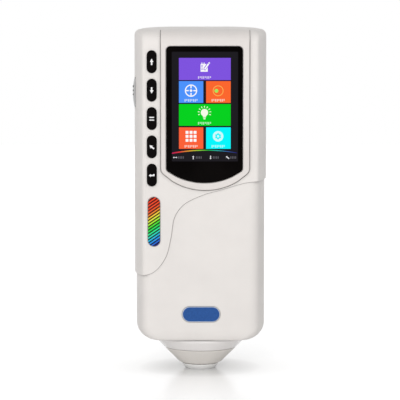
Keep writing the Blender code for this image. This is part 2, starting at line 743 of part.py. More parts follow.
@dataclass(frozen=True)
class BackForm:
    """Form of the back cover: flat back with wide elliptical sides and rounded ends."""

    half: float
    flat_half: float
    parting_y: float
    back_y: float
    low_z: float
    high_z: float
    low_across: float
    low_deep: float
    high_round: float

    def inset(self, wall):
        """The same form, smaller by a wall thickness all round."""
        return replace(
            self, half=self.half - wall, back_y=self.back_y - wall,
            low_z=self.low_z + wall, high_z=self.high_z - wall,
            low_across=max(self.low_across - wall, THIN_ROUND),
            low_deep=max(self.low_deep - wall, THIN_ROUND),
            high_round=max(self.high_round - wall, THIN_ROUND))

    def side_x(self, y):
        """How far out the side reaches at a depth."""
        rise = (y - self.parting_y) / (self.back_y - self.parting_y)
        return self.flat_half + (self.half - self.flat_half) * sqrt(max(1 - rise * rise, 0))

    def plan(self, across, deep, closing_y):
        """Outline at one height, drawn in by the rounding there."""
        half, back = self.half - across, self.back_y - deep
        right = [(half, closing_y)] if closing_y != self.parting_y else []
        for i in range(BACK_STEPS + 1):
            angle = pi / 2 * i / BACK_STEPS
            right.append((self.flat_half + (half - self.flat_half) * cos(angle),
                          self.parting_y + (back - self.parting_y) * sin(angle)))
        return right + [(-x, y) for x, y in reversed(right)]

    def solid(self, name, closing_y=None):
        closing_y = self.parting_y if closing_y is None else closing_y
        levels = rounded_levels(self.low_z, self.high_z, self.low_across, self.low_deep, self.high_round)
        return loft(name, [[(x, y, z) for x, y in self.plan(across, deep, closing_y)]
                           for z, across, deep in levels])


def rounded_levels(low_z, high_z, low_across, low_deep, high_round):
    """Heights of the loft's sections, each with how far it is drawn in across and in depth."""
    levels = []
    if low_across:
        for i in range(ROUND_STEPS):
            angle = pi / 2 * (1 - i / ROUND_STEPS)
            levels.append((low_z + low_across * (1 - sin(angle)),
                           low_across * (1 - cos(angle)), low_deep * (1 - cos(angle))))
        levels.append((low_z + low_across, 0, 0))
    else:
        levels.append((low_z, 0, 0))
    if high_round:
        levels.append((high_z - high_round, 0, 0))
        for i in range(1, ROUND_STEPS + 1):
            angle = pi / 2 * i / ROUND_STEPS
            inset = high_round * (1 - cos(angle))
            levels.append((high_z - high_round * (1 - sin(angle)), inset, inset))
    else:
        levels.append((high_z, 0, 0))
    return levels


UPPER_FORM = FrontForm(
    FRONT_HALF_WIDTH, WIDEST_HALF_WIDTH, FRONT_Y, TURN_Y, PARTING_Y, UPPER_CORNER,
    SEAM_LEFT_Z - SEAM_TUCK, HOUSING_TOP, 0, 0, TOP_ROUND)
LOWER_FORM = FrontForm(
    FRONT_HALF_WIDTH - SIDE_STEP, LOWER_HALF_WIDTH, FRONT_Y + FRONT_STEP, TURN_Y, PARTING_Y,
    LOWER_CORNER, HOUSING_FLOOR, SEAM_RIGHT_Z + SEAM_TUCK, FLOOR_ROUND_ACROSS, FLOOR_ROUND_DEEP, 0)
BACK_FORM = BackForm(
    LOWER_HALF_WIDTH, BACK_FLAT_HALF, PARTING_Y + GAP, BACK_Y, HOUSING_FLOOR, HOUSING_TOP,
    FLOOR_ROUND_ACROSS, FLOOR_ROUND_DEEP, TOP_ROUND)


def side_x(form, y):
    """How far out the side of a front form reaches at a depth between the turn and the parting."""
    start = Vector((form.front_half, form.front_y))
    low, high = 0.0, 1.0
    for _ in range(30):
        t = (low + high) / 2
        at = start.y * (1 - t) ** 2 + form.turn_y * 2 * t * (1 - t) + form.parting_y * t * t
        low, high = (t, high) if at < y else (low, t)
    return start.x * (1 - t) ** 2 + form.widest_half * (1 - (1 - t) ** 2)


def seam_path():
    """The curved seam across the front, left to right, as (x, z) points."""
    rise = SEAM_RIGHT_Z - SEAM_LEFT_Z
    knots = [(across * WIDEST_HALF_WIDTH, SEAM_LEFT_Z + up * rise) for across, up in SEAM_SHARES]
    return smooth_path(knots, SEAM_STEPS)


def seam_side(name, shift, closing_z):
    """Block that holds everything on one side of the seam, from in front to behind the shells."""
    path = offset_path(seam_path(), shift)
    outline = [tuple(point) for point in path]
    outline += [(outline[-1][0], closing_z), (outline[0][0], closing_z)]
    return prism(name, [outline], "Y", FRONT_Y - OVERRUN, -PARTING_Y + OVERRUN)


# Places of the screws: (x, z) on the front shells, and which shell carries each boss
TOP_SCREW_Z = HOUSING_TOP - TOP_SCREW_DROP
UPPER_SCREWS = ((-TOP_SCREW_X, TOP_SCREW_Z), (TOP_SCREW_X, TOP_SCREW_Z), (LEFT_SCREW_X, LEFT_SCREW_Z))
LOWER_SCREWS = ((RIGHT_SCREW_X, RIGHT_SCREW_Z), (-LOW_SCREW_X, LOW_SCREW_Z), (LOW_SCREW_X, LOW_SCREW_Z))
SCREW_END_Y = SCREW_SEAT_Y - SCREW_LENGTH

# Display openings
WINDOW_HALF_WIDTH = BEZEL_HALF_WIDTH - WINDOW_SIDE_MARGIN
WINDOW_LOW_Z = BEZEL_LOW_Z + WINDOW_LOW_MARGIN
VIEW_TOP_Z = WINDOW_TOP_Z - VIEW_TOP_MARGIN
VIEW_LOW_Z = VIEW_TOP_Z - VIEW_HEIGHT
VIEW_HALF_WIDTH = WINDOW_HALF_WIDTH - VIEW_SIDE_MARGIN
WINDOW_BACK_Y = FRONT_Y + BEZEL_SEAT - GAP
WINDOW_FRONT_Y = WINDOW_BACK_Y - WINDOW_THICKNESS
LCD_TOP_Z = VIEW_TOP_Z + LCD_MARGIN
LCD_LOW_Z = VIEW_LOW_Z - LCD_MARGIN
BOARD_TOP_Z = LCD_TOP_Z + BOARD_TOP_MARGIN
BOARD_LOW_Z = KEY_BOTTOM_Z - BOARD_BELOW_KEYS
BOARD_BOSSES = (
    (BOARD_BOSS_INNER_X, BOARD_TOP_Z - BOARD_BOSS_TOP_DROP),
    (BOARD_BOSS_OUTER_X, BOARD_TOP_Z - BOARD_BOSS_TOP_DROP),
    (BOARD_BOSS_INNER_X, BOARD_BOSS_LOW_LEFT_Z),
    (BOARD_BOSS_OUTER_X, BOARD_BOSS_LOW_RIGHT_Z),
)


def bezel_outline(spare=0.0):
    return shield(BEZEL_CENTRE_X, BEZEL_HALF_WIDTH + spare, OVERALL_HEIGHT + OVERRUN,
                  BEZEL_LOW_Z - spare, BEZEL_ARC + spare, 0, BEZEL_CORNER + spare)


def window_outline(spare=0.0):
    return shield(BEZEL_CENTRE_X, WINDOW_HALF_WIDTH + spare, WINDOW_TOP_Z + spare,
                  WINDOW_LOW_Z - spare, WINDOW_ARC + spare, WINDOW_CORNER + spare, WINDOW_CORNER + spare)


def key_places():
    """Centres of the keys, top to bottom."""
    return [(KEY_X, KEY_TOP_Z - KEY_HEIGHT / 2 - i * KEY_PITCH) for i in range(len(KEY_NAMES))]


KEY_FLANGE_FRONT_Y = FRONT_INSIDE_Y + GAP
KEY_FLANGE_BACK_Y = KEY_FLANGE_FRONT_Y + KEY_FLANGE
SWITCH_TIP_Y = KEY_FLANGE_BACK_Y + KEY_TRAVEL + KEY_REST_GAP


# Front shells

def front_bosses(name, places, front_y):
    """Bosses that take the housing screws, from the front wall to just short of the parting."""
    return cylinders(name, [(x, 0, z) for x, z in places], FRONT_BOSS_RADIUS, "Y",
                     front_y, PARTING_Y)


def front_boss_holes(name, places):
    return cylinders(name, [(x, 0, z) for x, z in places], SCREW_RADIUS + GAP, "Y",
                     SCREW_END_Y - SCREW_END_ROOM, PARTING_Y + OVERRUN)


def make_upper_housing():
    housing = UPPER_FORM.solid("upper_housing")
    cavity = replace(UPPER_FORM, low_z=UPPER_FORM.low_z - WALL - OVERRUN).inset(WALL)
    cut(housing, cavity.solid("upper_cavity", PARTING_Y + OVERRUN))
    keep_inside(housing, seam_side("above_seam", GAP / 2, OVERALL_HEIGHT + OVERRUN))
    middle_y = FRONT_Y + WALL / 2
    join(housing, front_bosses("upper_screw_bosses", UPPER_SCREWS, middle_y))
    join(housing, cylinders("board_bosses", [(x, 0, z) for x, z in BOARD_BOSSES], BOARD_BOSS_RADIUS,
                            "Y", middle_y, BOARD_FRONT_Y - GAP))
    cut(housing, front_boss_holes("upper_screw_holes", UPPER_SCREWS))
    cut(housing, cylinders("board_screw_holes", [(x, 0, z) for x, z in BOARD_BOSSES],
                           BOARD_SCREW_RADIUS + GAP / 2, "Y", FRONT_INSIDE_Y + GAP, BOARD_BACK_Y))
    seat = prism("bezel_seat", [bezel_outline(GAP)], "Y", FRONT_Y - OVERRUN, FRONT_Y + BEZEL_REACH + GAP)
    cut(seat, UPPER_FORM.inset(BEZEL_SEAT).solid("bezel_seat_floor", PARTING_Y + OVERRUN))
    cut(housing, seat)
    cut(housing, prism("view_opening", [view_outline()], "Y", FRONT_Y - OVERRUN,
                       FRONT_INSIDE_Y + OVERRUN / 2))
    slots = [pill(place, KEY_WIDTH + 2 * KEY_SLOT_GAP, KEY_HEIGHT + 2 * KEY_SLOT_GAP)
             for place in key_places()]
    cut(housing, prism("key_slots", slots, "Y", FRONT_Y - OVERRUN, FRONT_INSIDE_Y + GAP))
    cut(housing, prism("spectrum_seat", [pill((SPECTRUM_X, SPECTRUM_Z), SPECTRUM_WIDTH + 2 * GAP,
                                              SPECTRUM_HEIGHT + 2 * GAP)],
                       "Y", FRONT_Y - OVERRUN, FRONT_Y + BADGE_SEAT))
    half_y, half_z = BUTTON_DEPTH / 2 + GAP, BUTTON_HEIGHT / 2 + GAP
    cut(housing, box("button_opening", (BUTTON_CROWN_X - OVERRUN, BUTTON_Y - half_y, BUTTON_Z - half_z),
                     (-BOARD_HALF_WIDTH - OVERRUN / 2, BUTTON_Y + half_y, BUTTON_Z + half_z)))
    return as_part(housing, "white_plastic")


def view_outline(spare=0.0):
    return rounded_rectangle(
        (BEZEL_CENTRE_X - VIEW_HALF_WIDTH - spare, VIEW_LOW_Z - spare),
        (BEZEL_CENTRE_X + VIEW_HALF_WIDTH + spare, VIEW_TOP_Z + spare), VIEW_CORNER + spare)


def make_lower_cover():
    cover = LOWER_FORM.solid("lower_cover")
    cavity = replace(LOWER_FORM.inset(LOWER_WALL), high_z=LOWER_FORM.high_z + OVERRUN)
    cut(cover, cavity.solid("lower_cavity", PARTING_Y + OVERRUN))
    keep_inside(cover, seam_side("below_seam", -GAP / 2, HOUSING_FLOOR - OVERRUN))
    join(cover, seam_lip())
    join(cover, front_bosses("lower_screw_bosses", LOWER_SCREWS, LOWER_FORM.front_y + LOWER_WALL / 2))
    cut(cover, front_boss_holes("lower_screw_holes", LOWER_SCREWS))
    cut(cover, head_opening("lower_head_opening"))
    label = pill((LABEL_X, LABEL_Z), LABEL_WIDTH + 2 * GAP, LABEL_HEIGHT + 2 * GAP)
    cut(cover, prism("label_seat", [label], "Y", LOWER_FORM.front_y - OVERRUN,
                     LOWER_FORM.front_y + BADGE_SEAT))
    return as_part(cover, "white_plastic")


def seam_lip():
    """Tongue of the lower cover that stands up behind the upper housing's edge."""
    outside = replace(UPPER_FORM.inset(WALL + GAP), low_z=UPPER_FORM.low_z,
                      high_z=LOWER_FORM.high_z, high_round=0)
    inside = replace(outside.inset(LIP_THICKNESS), low_z=outside.low_z - OVERRUN,
                     high_z=outside.high_z + OVERRUN)
    lip = outside.solid("seam_lip", PARTING_Y - LIP_THICKNESS / 2)
    cut(lip, inside.solid("seam_lip_inside", PARTING_Y + OVERRUN))
    path = seam_path()
    band = [tuple(point) for point in offset_path(path, LIP_ABOVE)]
    band += [tuple(point) for point in reversed(offset_path(path, -LIP_BELOW))]
    return keep_inside(lip, prism("seam_band", [band], "Y", FRONT_Y - OVERRUN, -PARTING_Y + OVERRUN))


def head_opening(name):
    """Round hole in the housing floor that grips the neck of the measuring head."""
    return cylinders(name, [(0, 0, 0)], NECK_GROOVE_RADIUS + GAP, "Z",
                     HOUSING_FLOOR - OVERRUN, HOUSING_FLOOR + LOWER_WALL + GAP, TURN_STEPS)


# Back cover, battery bay and door

DOOR_HIGH_Z = DOOR_LOW_Z + DOOR_HEIGHT
BAY_HALF_WIDTH = DOOR_HALF_WIDTH - DOOR_LEDGE
BAY_LOW_Z = DOOR_LOW_Z + DOOR_LEDGE
BAY_HIGH_Z = DOOR_HIGH_Z - DOOR_LEDGE
BATTERY_HALF_WIDTH = BAY_HALF_WIDTH - BATTERY_SIDE_ROOM
BATTERY_BACK_Y = BACK_Y - DOOR_THICKNESS - BATTERY_BACK_ROOM - DOOR_CATCH_THICKNESS
BATTERY_FRONT_Y = BATTERY_BACK_Y - BATTERY_THICKNESS
BAY_FLOOR_Y = BATTERY_FRONT_Y - GAP
PORT_WALL_X = BACK_FORM.side_x(PORT_Y)
ROCKER_WALL_X = BACK_FORM.side_x(ROCKER_Y)
ROCKER_PIVOT_X = ROCKER_WALL_X - ROCKER_PIVOT_DEPTH
JACK_MOUTH_X = PORT_WALL_X - PORT_SETBACK


def door_outline(spare):
    return rounded_rectangle((-DOOR_HALF_WIDTH - spare, DOOR_LOW_Z - spare),
                             (DOOR_HALF_WIDTH + spare, DOOR_HIGH_Z + spare), DOOR_LEDGE)


def make_back_cover():
    cover = BACK_FORM.solid("back_cover")
    cut(cover, BACK_FORM.inset(WALL).solid("back_cavity", PARTING_Y - OVERRUN))
    middle = BACK_FORM.inset(WALL / 2)
    tub = box("battery_tub", (-DOOR_HALF_WIDTH - BAY_WALL, BAY_FLOOR_Y - BAY_WALL, DOOR_LOW_Z - BAY_WALL),
              (DOOR_HALF_WIDTH + BAY_WALL, BACK_Y + OVERRUN, DOOR_HIGH_Z + BAY_WALL))
    keep_inside(tub, middle.solid("tub_limit"))
    join(cover, tub)
    screws = UPPER_SCREWS + LOWER_SCREWS
    centres = [(x, 0, z) for x, z in screws]
    posts = cylinders("back_posts", centres, POST_RADIUS, "Y", PARTING_Y + GAP, BACK_Y + OVERRUN)
    keep_inside(posts, middle.solid("post_limit"))
    join(cover, posts)
    rail_low, rail_high = port_board_span()
    rail = box("port_rails", (PORT_BOARD_X - PORT_RAIL, PORT_Y + JACK_HALF + GAP, rail_low + GAP),
               (PORT_WALL_X, BACK_Y, rail_high - GAP))
    join(cover, keep_inside(rail, middle.solid("rail_limit")))
    cut(cover, box("board_slot", (PORT_BOARD_X - GAP, PARTING_Y, rail_low - GAP),
                   (PORT_BOARD_X + PORT_BOARD_THICKNESS + GAP, port_board_back_y() + GAP, rail_high + GAP)))
    cut(cover, box("battery_bay", (-BAY_HALF_WIDTH, BAY_FLOOR_Y, BAY_LOW_Z),
                   (BAY_HALF_WIDTH, BACK_Y + OVERRUN, BAY_HIGH_Z)))
    recess = prism("door_recess", [door_outline(DOOR_GAP)], "Y", PARTING_Y + OVERRUN, BACK_Y + OVERRUN)
    cut(recess, BACK_FORM.inset(DOOR_THICKNESS + GAP).solid("door_recess_floor", PARTING_Y))
    cut(cover, recess)
    cut(cover, cylinders("screw_holes", centres, SCREW_RADIUS + GAP, "Y", PARTING_Y - OVERRUN, BACK_Y))
    cut(cover, cylinders("screw_wells", centres, SCREW_HEAD_RADIUS + GAP, "Y", SCREW_SEAT_Y,
                         BACK_Y + OVERRUN))
    cut(cover, head_opening("back_head_opening"))
    cut(cover, *rocker_cutters())
    cut(cover, *port_cutters())
    return as_part(cover, "white_plastic")


def make_battery_door():
    """Curved door, hinged on its lower edge, with a catch and grip ribs at the top."""
    door = prism("battery_door", [door_outline(0)], "Y", PARTING_Y + OVERRUN, BACK_Y + OVERRUN)
    keep_inside(door, BACK_FORM.solid("door_outside"))
    cut(door, BACK_FORM.inset(DOOR_THICKNESS).solid("door_inside", PARTING_Y))
    catch_top = BAY_HIGH_Z - DOOR_GAP
    catch_back = BACK_Y - DOOR_THICKNESS / 2
    join(door, box("door_catch", (-DOOR_CATCH_HALF_WIDTH, BACK_Y - DOOR_THICKNESS - DOOR_CATCH_DEPTH + GAP,
                                  catch_top - DOOR_CATCH_THICKNESS),
                   (DOOR_CATCH_HALF_WIDTH, catch_back, catch_top)))
    grip_tops = [DOOR_HIGH_Z - DOOR_GRIP_DROP - i * DOOR_GRIP_PITCH for i in range(DOOR_GRIP_COUNT)]
    grips = [rounded_rectangle((-DOOR_GRIP_HALF_LENGTH, top - DOOR_GRIP_WIDTH),
                               (DOOR_GRIP_HALF_LENGTH, top), DOOR_GRIP_WIDTH * DOOR_GRIP_END_SHARE)
             for top in grip_tops]
    cut(door, prism("door_grips", grips, "Y", BACK_Y - DOOR_GRIP_DEPTH, BACK_Y + OVERRUN))
    return as_part(move_origin(applied(door), (0, BACK_Y, DOOR_LOW_Z)), "white_plastic")



def make_battery_pack():
    """Two round cells side by side in one sleeve."""
    radius = BATTERY_THICKNESS / 2
    centre = (0, (BATTERY_FRONT_Y + BATTERY_BACK_Y) / 2)
    outline = pill(centre, 2 * BATTERY_HALF_WIDTH, 2 * radius, BATTERY_STEPS)
    pack = prism("battery_pack", [outline], "Z", BAY_LOW_Z + CONTACT_THICKNESS + 3 * GAP,
                 BAY_HIGH_Z - BATTERY_END_ROOM)
    return as_part(round_edges(pack, EDGE_BREAK), "battery_sleeve")


def make_battery_contacts():
    """Two leaf contacts that stand on the lower wall of the bay."""
    middle_y = (BATTERY_FRONT_Y + BATTERY_BACK_Y) / 2
    leaf = box("battery_contact", (-CONTACT_WIDTH / 2, middle_y - CONTACT_HEIGHT / 2, BAY_LOW_Z + GAP),
               (CONTACT_WIDTH / 2, middle_y + CONTACT_HEIGHT / 2, BAY_LOW_Z + GAP + CONTACT_THICKNESS))
    places = [Matrix.Translation((side * CONTACT_SPREAD, 0, 0)) for side in (-1, 1)]
    return placed_copies("battery_contact", leaf, places, "brass")


# Screws

def screw_shape(name, head_radius, head, radius, length):
    """Pan-head screw, its seat at Z = 0 and its shank running down."""
    crown = head * SCREW_PAN_SHARE
    profile = [(0, head), (head_radius - crown, head), (head_radius, head - crown), (head_radius, 0),
               (radius, 0), (radius, -length + radius), (radius * SCREW_TIP_SHARE, -length), (0, -length)]
    return applied(turned(name, profile, FASTENER_SIDES))



def make_housing_screws():
    screw = screw_shape("housing_screw", SCREW_HEAD_RADIUS, SCREW_HEAD, SCREW_RADIUS, SCREW_LENGTH)
    turns = [Matrix.Translation((x, SCREW_SEAT_Y + GAP, z)) @ AXIS_TURNS["Y"]
             for x, z in UPPER_SCREWS + LOWER_SCREWS]
    return placed_copies("housing_screw", screw, turns, "steel")


def make_board_screws():
    screw = screw_shape("board_screw", BOARD_SCREW_HEAD_RADIUS, BOARD_SCREW_HEAD, BOARD_SCREW_RADIUS,
                        BOARD_SCREW_LENGTH)
    turns = [Matrix.Translation((x, BOARD_BACK_Y + GAP, z)) @ AXIS_TURNS["Y"] for x, z in BOARD_BOSSES]
    return placed_copies("board_screw", screw, turns, "steel")


# Display

def make_display_bezel():
    """Raised frame that runs over the top edge of the housing."""
    outer = replace(UPPER_FORM.inset(-BEZEL_PROUD), high_z=HOUSING_TOP + BEZEL_RISE, low_z=UPPER_FORM.low_z)
    bezel = outer.solid("display_bezel")
    inner = UPPER_FORM.inset(BEZEL_SEAT - GAP)
    cut(bezel, replace(inner, low_z=inner.low_z - OVERRUN).solid("bezel_inside", PARTING_Y + OVERRUN))
    keep_inside(bezel, prism("bezel_limit", [bezel_outline()], "Y", FRONT_Y - OVERRUN,
                             FRONT_Y + BEZEL_REACH))
    cut(bezel, prism("window_pocket", [window_outline(GAP)], "Y", FRONT_Y - OVERRUN, FRONT_INSIDE_Y))
    return as_part(round_edges(applied(bezel), EDGE_BREAK), "warm_white_plastic")


def make_screen_window():
    window = prism("screen_window", [window_outline()], "Y", WINDOW_FRONT_Y, WINDOW_BACK_Y)
    return as_part(window, "black_glass")


def make_lcd_module():
    outline = rounded_rectangle(
        (BEZEL_CENTRE_X - VIEW_HALF_WIDTH - LCD_MARGIN, LCD_LOW_Z),
        (BEZEL_CENTRE_X + VIEW_HALF_WIDTH + LCD_MARGIN, LCD_TOP_Z), LCD_CORNER)
    panel = prism("lcd_module", [outline], "Y", FRONT_INSIDE_Y + GAP, BOARD_FRONT_Y - GAP)
    return as_part(panel, "screen")


def make_main_board():
    """Circuit board with its screw holes and one large chip on the back."""
    outline = rounded_rectangle((-BOARD_HALF_WIDTH, BOARD_LOW_Z), (BOARD_HALF_WIDTH, BOARD_TOP_Z),
                                BOARD_CORNER)
    board = prism("main_board", [outline], "Y", BOARD_FRONT_Y, BOARD_BACK_Y)
    half = CHIP_SIZE / 2
    join(board, box("main_chip", (-half, BOARD_BACK_Y - GAP, CHIP_Z - half),
                    (half, BOARD_BACK_Y + CHIP_THICKNESS, CHIP_Z + half)))
    cut(board, cylinders("board_holes", [(x, 0, z) for x, z in BOARD_BOSSES], BOARD_SCREW_RADIUS + GAP,
                         "Y", BOARD_FRONT_Y - GAP, BOARD_BACK_Y + OVERRUN))
    return as_part(board, "board_green")


# Keys and their switches

def make_key(name, place):
    """Pill-shaped key whose longer flange keeps it behind the housing wall."""
    cap = prism(name, [pill(place, KEY_WIDTH, KEY_HEIGHT)], "Y", FRONT_Y - KEY_PROUD, KEY_FLANGE_BACK_Y)
    round_edges(cap, KEY_ROUND, 2, KEEN_ANGLE)
    flange = pill(place, KEY_WIDTH, KEY_HEIGHT + 2 * KEY_FLANGE)
    join(cap, prism(name + "_flange", [flange], "Y", KEY_FLANGE_FRONT_Y, KEY_FLANGE_BACK_Y + GAP / 2))
    return as_part(move_origin(applied(cap), (place[0], FRONT_Y, place[1])), "black_rubber")


def make_key_switches():
    """Push switches on the board, one behind each key."""
    switch = box("key_switch", (-SWITCH_HALF_WIDTH, SWITCH_TIP_Y + SWITCH_PLUNGER, -SWITCH_HALF_HEIGHT),
                 (SWITCH_HALF_WIDTH, BOARD_FRONT_Y - GAP, SWITCH_HALF_HEIGHT))
    join(switch, cylinders("switch_plunger", [(0, 0, 0)], SWITCH_PLUNGER_RADIUS, "Y",
                           SWITCH_TIP_Y, SWITCH_TIP_Y + 2 * SWITCH_PLUNGER))
    turns = [Matrix.Translation((x, 0, z)) for x, z in key_places()]
    return placed_copies("key_switch", applied(switch), turns, "black_plastic")


# Measure button

UPPER_SIDE_FRONT_X = side_x(UPPER_FORM, BUTTON_Y - BUTTON_DEPTH / 2 - BUTTON_FLANGE)
BUTTON_FLANGE_OUT_X = -(UPPER_SIDE_FRONT_X - WALL - 2 * GAP)
BUTTON_BACK_X = BUTTON_FLANGE_OUT_X + BUTTON_FLANGE
MEASURE_TIP_X = BUTTON_BACK_X + BUTTON_TRAVEL + KEY_REST_GAP


def button_outline(drop):
    """Bulging (x, z) outline of the button, drawn in by the rounding of its two ends."""
    half = BUTTON_HEIGHT / 2 - drop
    rise = BUTTON_EDGE_DROP
    arc = (half * half + rise * rise) / (2 * rise)
    spread = atan2(half, arc - rise) * 180 / pi
    outline = arc_points((BUTTON_CROWN_X + drop + arc, BUTTON_Z), arc, 180 - spread, 180 + spread,
                         BUTTON_ARC_STEPS)
    inner_x = BUTTON_BACK_X - BUTTON_FLANGE / 2
    return outline + [(inner_x, BUTTON_Z - half), (inner_x, BUTTON_Z + half)]


def make_measure_button():
    """Ribbed thumb button that bulges out of the left side."""
    half = BUTTON_HEIGHT / 2
    low_y, high_y = BUTTON_Y - BUTTON_DEPTH / 2, BUTTON_Y + BUTTON_DEPTH / 2
    levels = []
    for i in range(CORNER_STEPS):
        angle = pi / 2 * i / (CORNER_STEPS - 1)
        levels.append((BUTTON_ROUND * (1 - cos(angle)), BUTTON_ROUND * (1 - sin(angle))))
    sections = [(low_y + drop, inset) for drop, inset in levels]
    sections += [(high_y - drop, inset) for drop, inset in reversed(levels)]
    button = loft("measure_button", [[(x, y, z) for x, z in button_outline(inset)]
                                     for y, inset in sections])
    join(button, box("button_flange",
                     (BUTTON_FLANGE_OUT_X, low_y - BUTTON_FLANGE, BUTTON_Z - half - BUTTON_FLANGE),
                     (BUTTON_BACK_X, high_y + BUTTON_FLANGE, BUTTON_Z + half + BUTTON_FLANGE)))
    for i in range(BUTTON_RIB_COUNT):
        z = BUTTON_Z + (i - (BUTTON_RIB_COUNT - 1) / 2) * BUTTON_RIB_PITCH
        cut(button, box("button_rib_%d" % i,
                        (BUTTON_CROWN_X - OVERRUN, low_y - GAP, z - BUTTON_RIB_WIDTH / 2),
                        (BUTTON_CROWN_X + BUTTON_RIB_DEPTH, high_y + GAP, z + BUTTON_RIB_WIDTH / 2)))
    return as_part(move_origin(applied(button), (BUTTON_CROWN_X, BUTTON_Y, BUTTON_Z)), "grey_plastic")


def make_measure_switch():
    """Side-acting switch that stands on the back of the board, behind the button."""
    body_x = MEASURE_TIP_X + MEASURE_PLUNGER
    switch = box("measure_switch",
                 (body_x, BOARD_BACK_Y + GAP, BUTTON_Z - MEASURE_SWITCH_HALF_HEIGHT),
                 (body_x + MEASURE_SWITCH_LENGTH, BUTTON_Y + BUTTON_DEPTH / 2,
                  BUTTON_Z + MEASURE_SWITCH_HALF_HEIGHT))
    join(switch, cylinders("measure_plunger", [(0, BUTTON_Y, BUTTON_Z)], MEASURE_PLUNGER_RADIUS, "X",
                           MEASURE_TIP_X, body_x + MEASURE_PLUNGER))
    return as_part(switch, "black_plastic")


# Badges

def make_spectrum_badge():
    badge = prism("spectrum_badge", [pill((SPECTRUM_X, SPECTRUM_Z), SPECTRUM_WIDTH, SPECTRUM_HEIGHT)], "Y",
                  FRONT_Y - SPECTRUM_PROUD, FRONT_Y + BADGE_SEAT - GAP)
    return as_part(round_edges(badge, BADGE_ROUND, 2, KEEN_ANGLE), "spectrum_badge")


def make_label_badge():
    front = LOWER_FORM.front_y
    badge = prism("label_badge", [pill((LABEL_X, LABEL_Z), LABEL_WIDTH, LABEL_HEIGHT)], "Y",
                  front - LABEL_PROUD, front + BADGE_SEAT - GAP)
    return as_part(round_edges(badge, BADGE_ROUND / 2, 2, KEEN_ANGLE), "blue_badge")


# Power switch

def rocker_pocket_z():
    """Half length that the rocker's ends need at both tilts."""
    return hypot(ROCKER_HALF_LENGTH, ROCKER_CROWN) + GAP


def rocker_frame_half():
    """Half width and half length of the switch body behind its flange."""
    return ROCKER_HALF_WIDTH + GAP + FRAME_WALL, rocker_pocket_z() + FRAME_WALL


def rocker_cutters():
    half_y, half_z = rocker_frame_half()
    recess_x = ROCKER_WALL_X - FRAME_RECESS
    opening = box("switch_opening", (PORT_BOARD_X, ROCKER_Y - half_y - GAP, ROCKER_Z - half_z - GAP),
                  (ROCKER_WALL_X + OVERRUN, ROCKER_Y + half_y + GAP, ROCKER_Z + half_z + GAP))
    spare = FRAME_FLANGE + GAP
    seat = box("switch_seat", (recess_x, ROCKER_Y - half_y - spare, ROCKER_Z - half_z - spare),
               (ROCKER_WALL_X + OVERRUN, ROCKER_Y + half_y + spare, ROCKER_Z + half_z + spare))
    return opening, seat


def rocker_floor_x():
    """Inside of the switch body's floor, clear of the rocker's belly at both tilts."""
    tilt = radians(ROCKER_TILT)
    return ROCKER_PIVOT_X - ROCKER_BELLY * cos(tilt) - ROCKER_BELLY_HALF * sin(tilt) - GAP


def make_switch_frame():
    """Snap-in body of the power switch with a flange and a pocket for the rocker."""
    half_y, half_z = rocker_frame_half()
    floor_x = rocker_floor_x()
    flange_x = ROCKER_WALL_X - FRAME_RECESS + GAP
    frame = box("power_switch_frame", (floor_x - FRAME_WALL, ROCKER_Y - half_y, ROCKER_Z - half_z),
                (flange_x + FRAME_FLANGE_THICKNESS / 2, ROCKER_Y + half_y, ROCKER_Z + half_z))
    join(frame, box("switch_flange",
                    (flange_x, ROCKER_Y - half_y - FRAME_FLANGE, ROCKER_Z - half_z - FRAME_FLANGE),
                    (flange_x + FRAME_FLANGE_THICKNESS, ROCKER_Y + half_y + FRAME_FLANGE,
                     ROCKER_Z + half_z + FRAME_FLANGE)))
    pocket_y = ROCKER_HALF_WIDTH + GAP
    cut(frame, box("switch_pocket", (floor_x, ROCKER_Y - pocket_y, ROCKER_Z - rocker_pocket_z()),
                   (ROCKER_WALL_X + OVERRUN, ROCKER_Y + pocket_y, ROCKER_Z + rocker_pocket_z())))
    cut(frame, cylinders("switch_pin_holes", [(ROCKER_PIVOT_X, 0, ROCKER_Z)],
                         ROCKER_PIN_RADIUS + GAP / 2, "Y",
                         ROCKER_Y - pocket_y - FRAME_ROOM, ROCKER_Y + pocket_y + FRAME_ROOM))
    return as_part(frame, "black_plastic")


def make_power_rocker():
    """Rocker with a shallow valley and two pins, resting with its upper end pressed in."""
    outline = [
        (-ROCKER_SHOULDER, -ROCKER_HALF_LENGTH), (ROCKER_CROWN, -ROCKER_HALF_LENGTH),
        (ROCKER_VALLEY, 0),
        (ROCKER_CROWN, ROCKER_HALF_LENGTH), (-ROCKER_SHOULDER, ROCKER_HALF_LENGTH),
        (-ROCKER_BELLY, ROCKER_BELLY_HALF), (-ROCKER_BELLY, -ROCKER_BELLY_HALF)]
    rocker = prism("power_rocker", [outline], "Y", -ROCKER_HALF_WIDTH, ROCKER_HALF_WIDTH)
    round_edges(rocker, EDGE_BREAK, 2)
    pin_half = ROCKER_HALF_WIDTH + GAP + FRAME_ROOM - GAP / 2
    join(rocker, cylinders("rocker_pins", [(0, 0, 0)], ROCKER_PIN_RADIUS, "Y", -pin_half, pin_half))
    rocker = applied(rocker)
    rocker.location = (ROCKER_PIVOT_X, ROCKER_Y, ROCKER_Z)
    rocker.rotation_euler = (0, radians(-ROCKER_TILT), 0)
    return as_part(rocker, "black_plastic")


# Sockets

def port_board_span():
    """Lower and upper edge of the small board behind the sockets."""
    return PORT_BOARD_LOW_Z, PORT_BOARD_TOP_Z


def port_board_back_y():
    return PORT_Y + JACK_HALF + PORT_BOARD_MARGIN


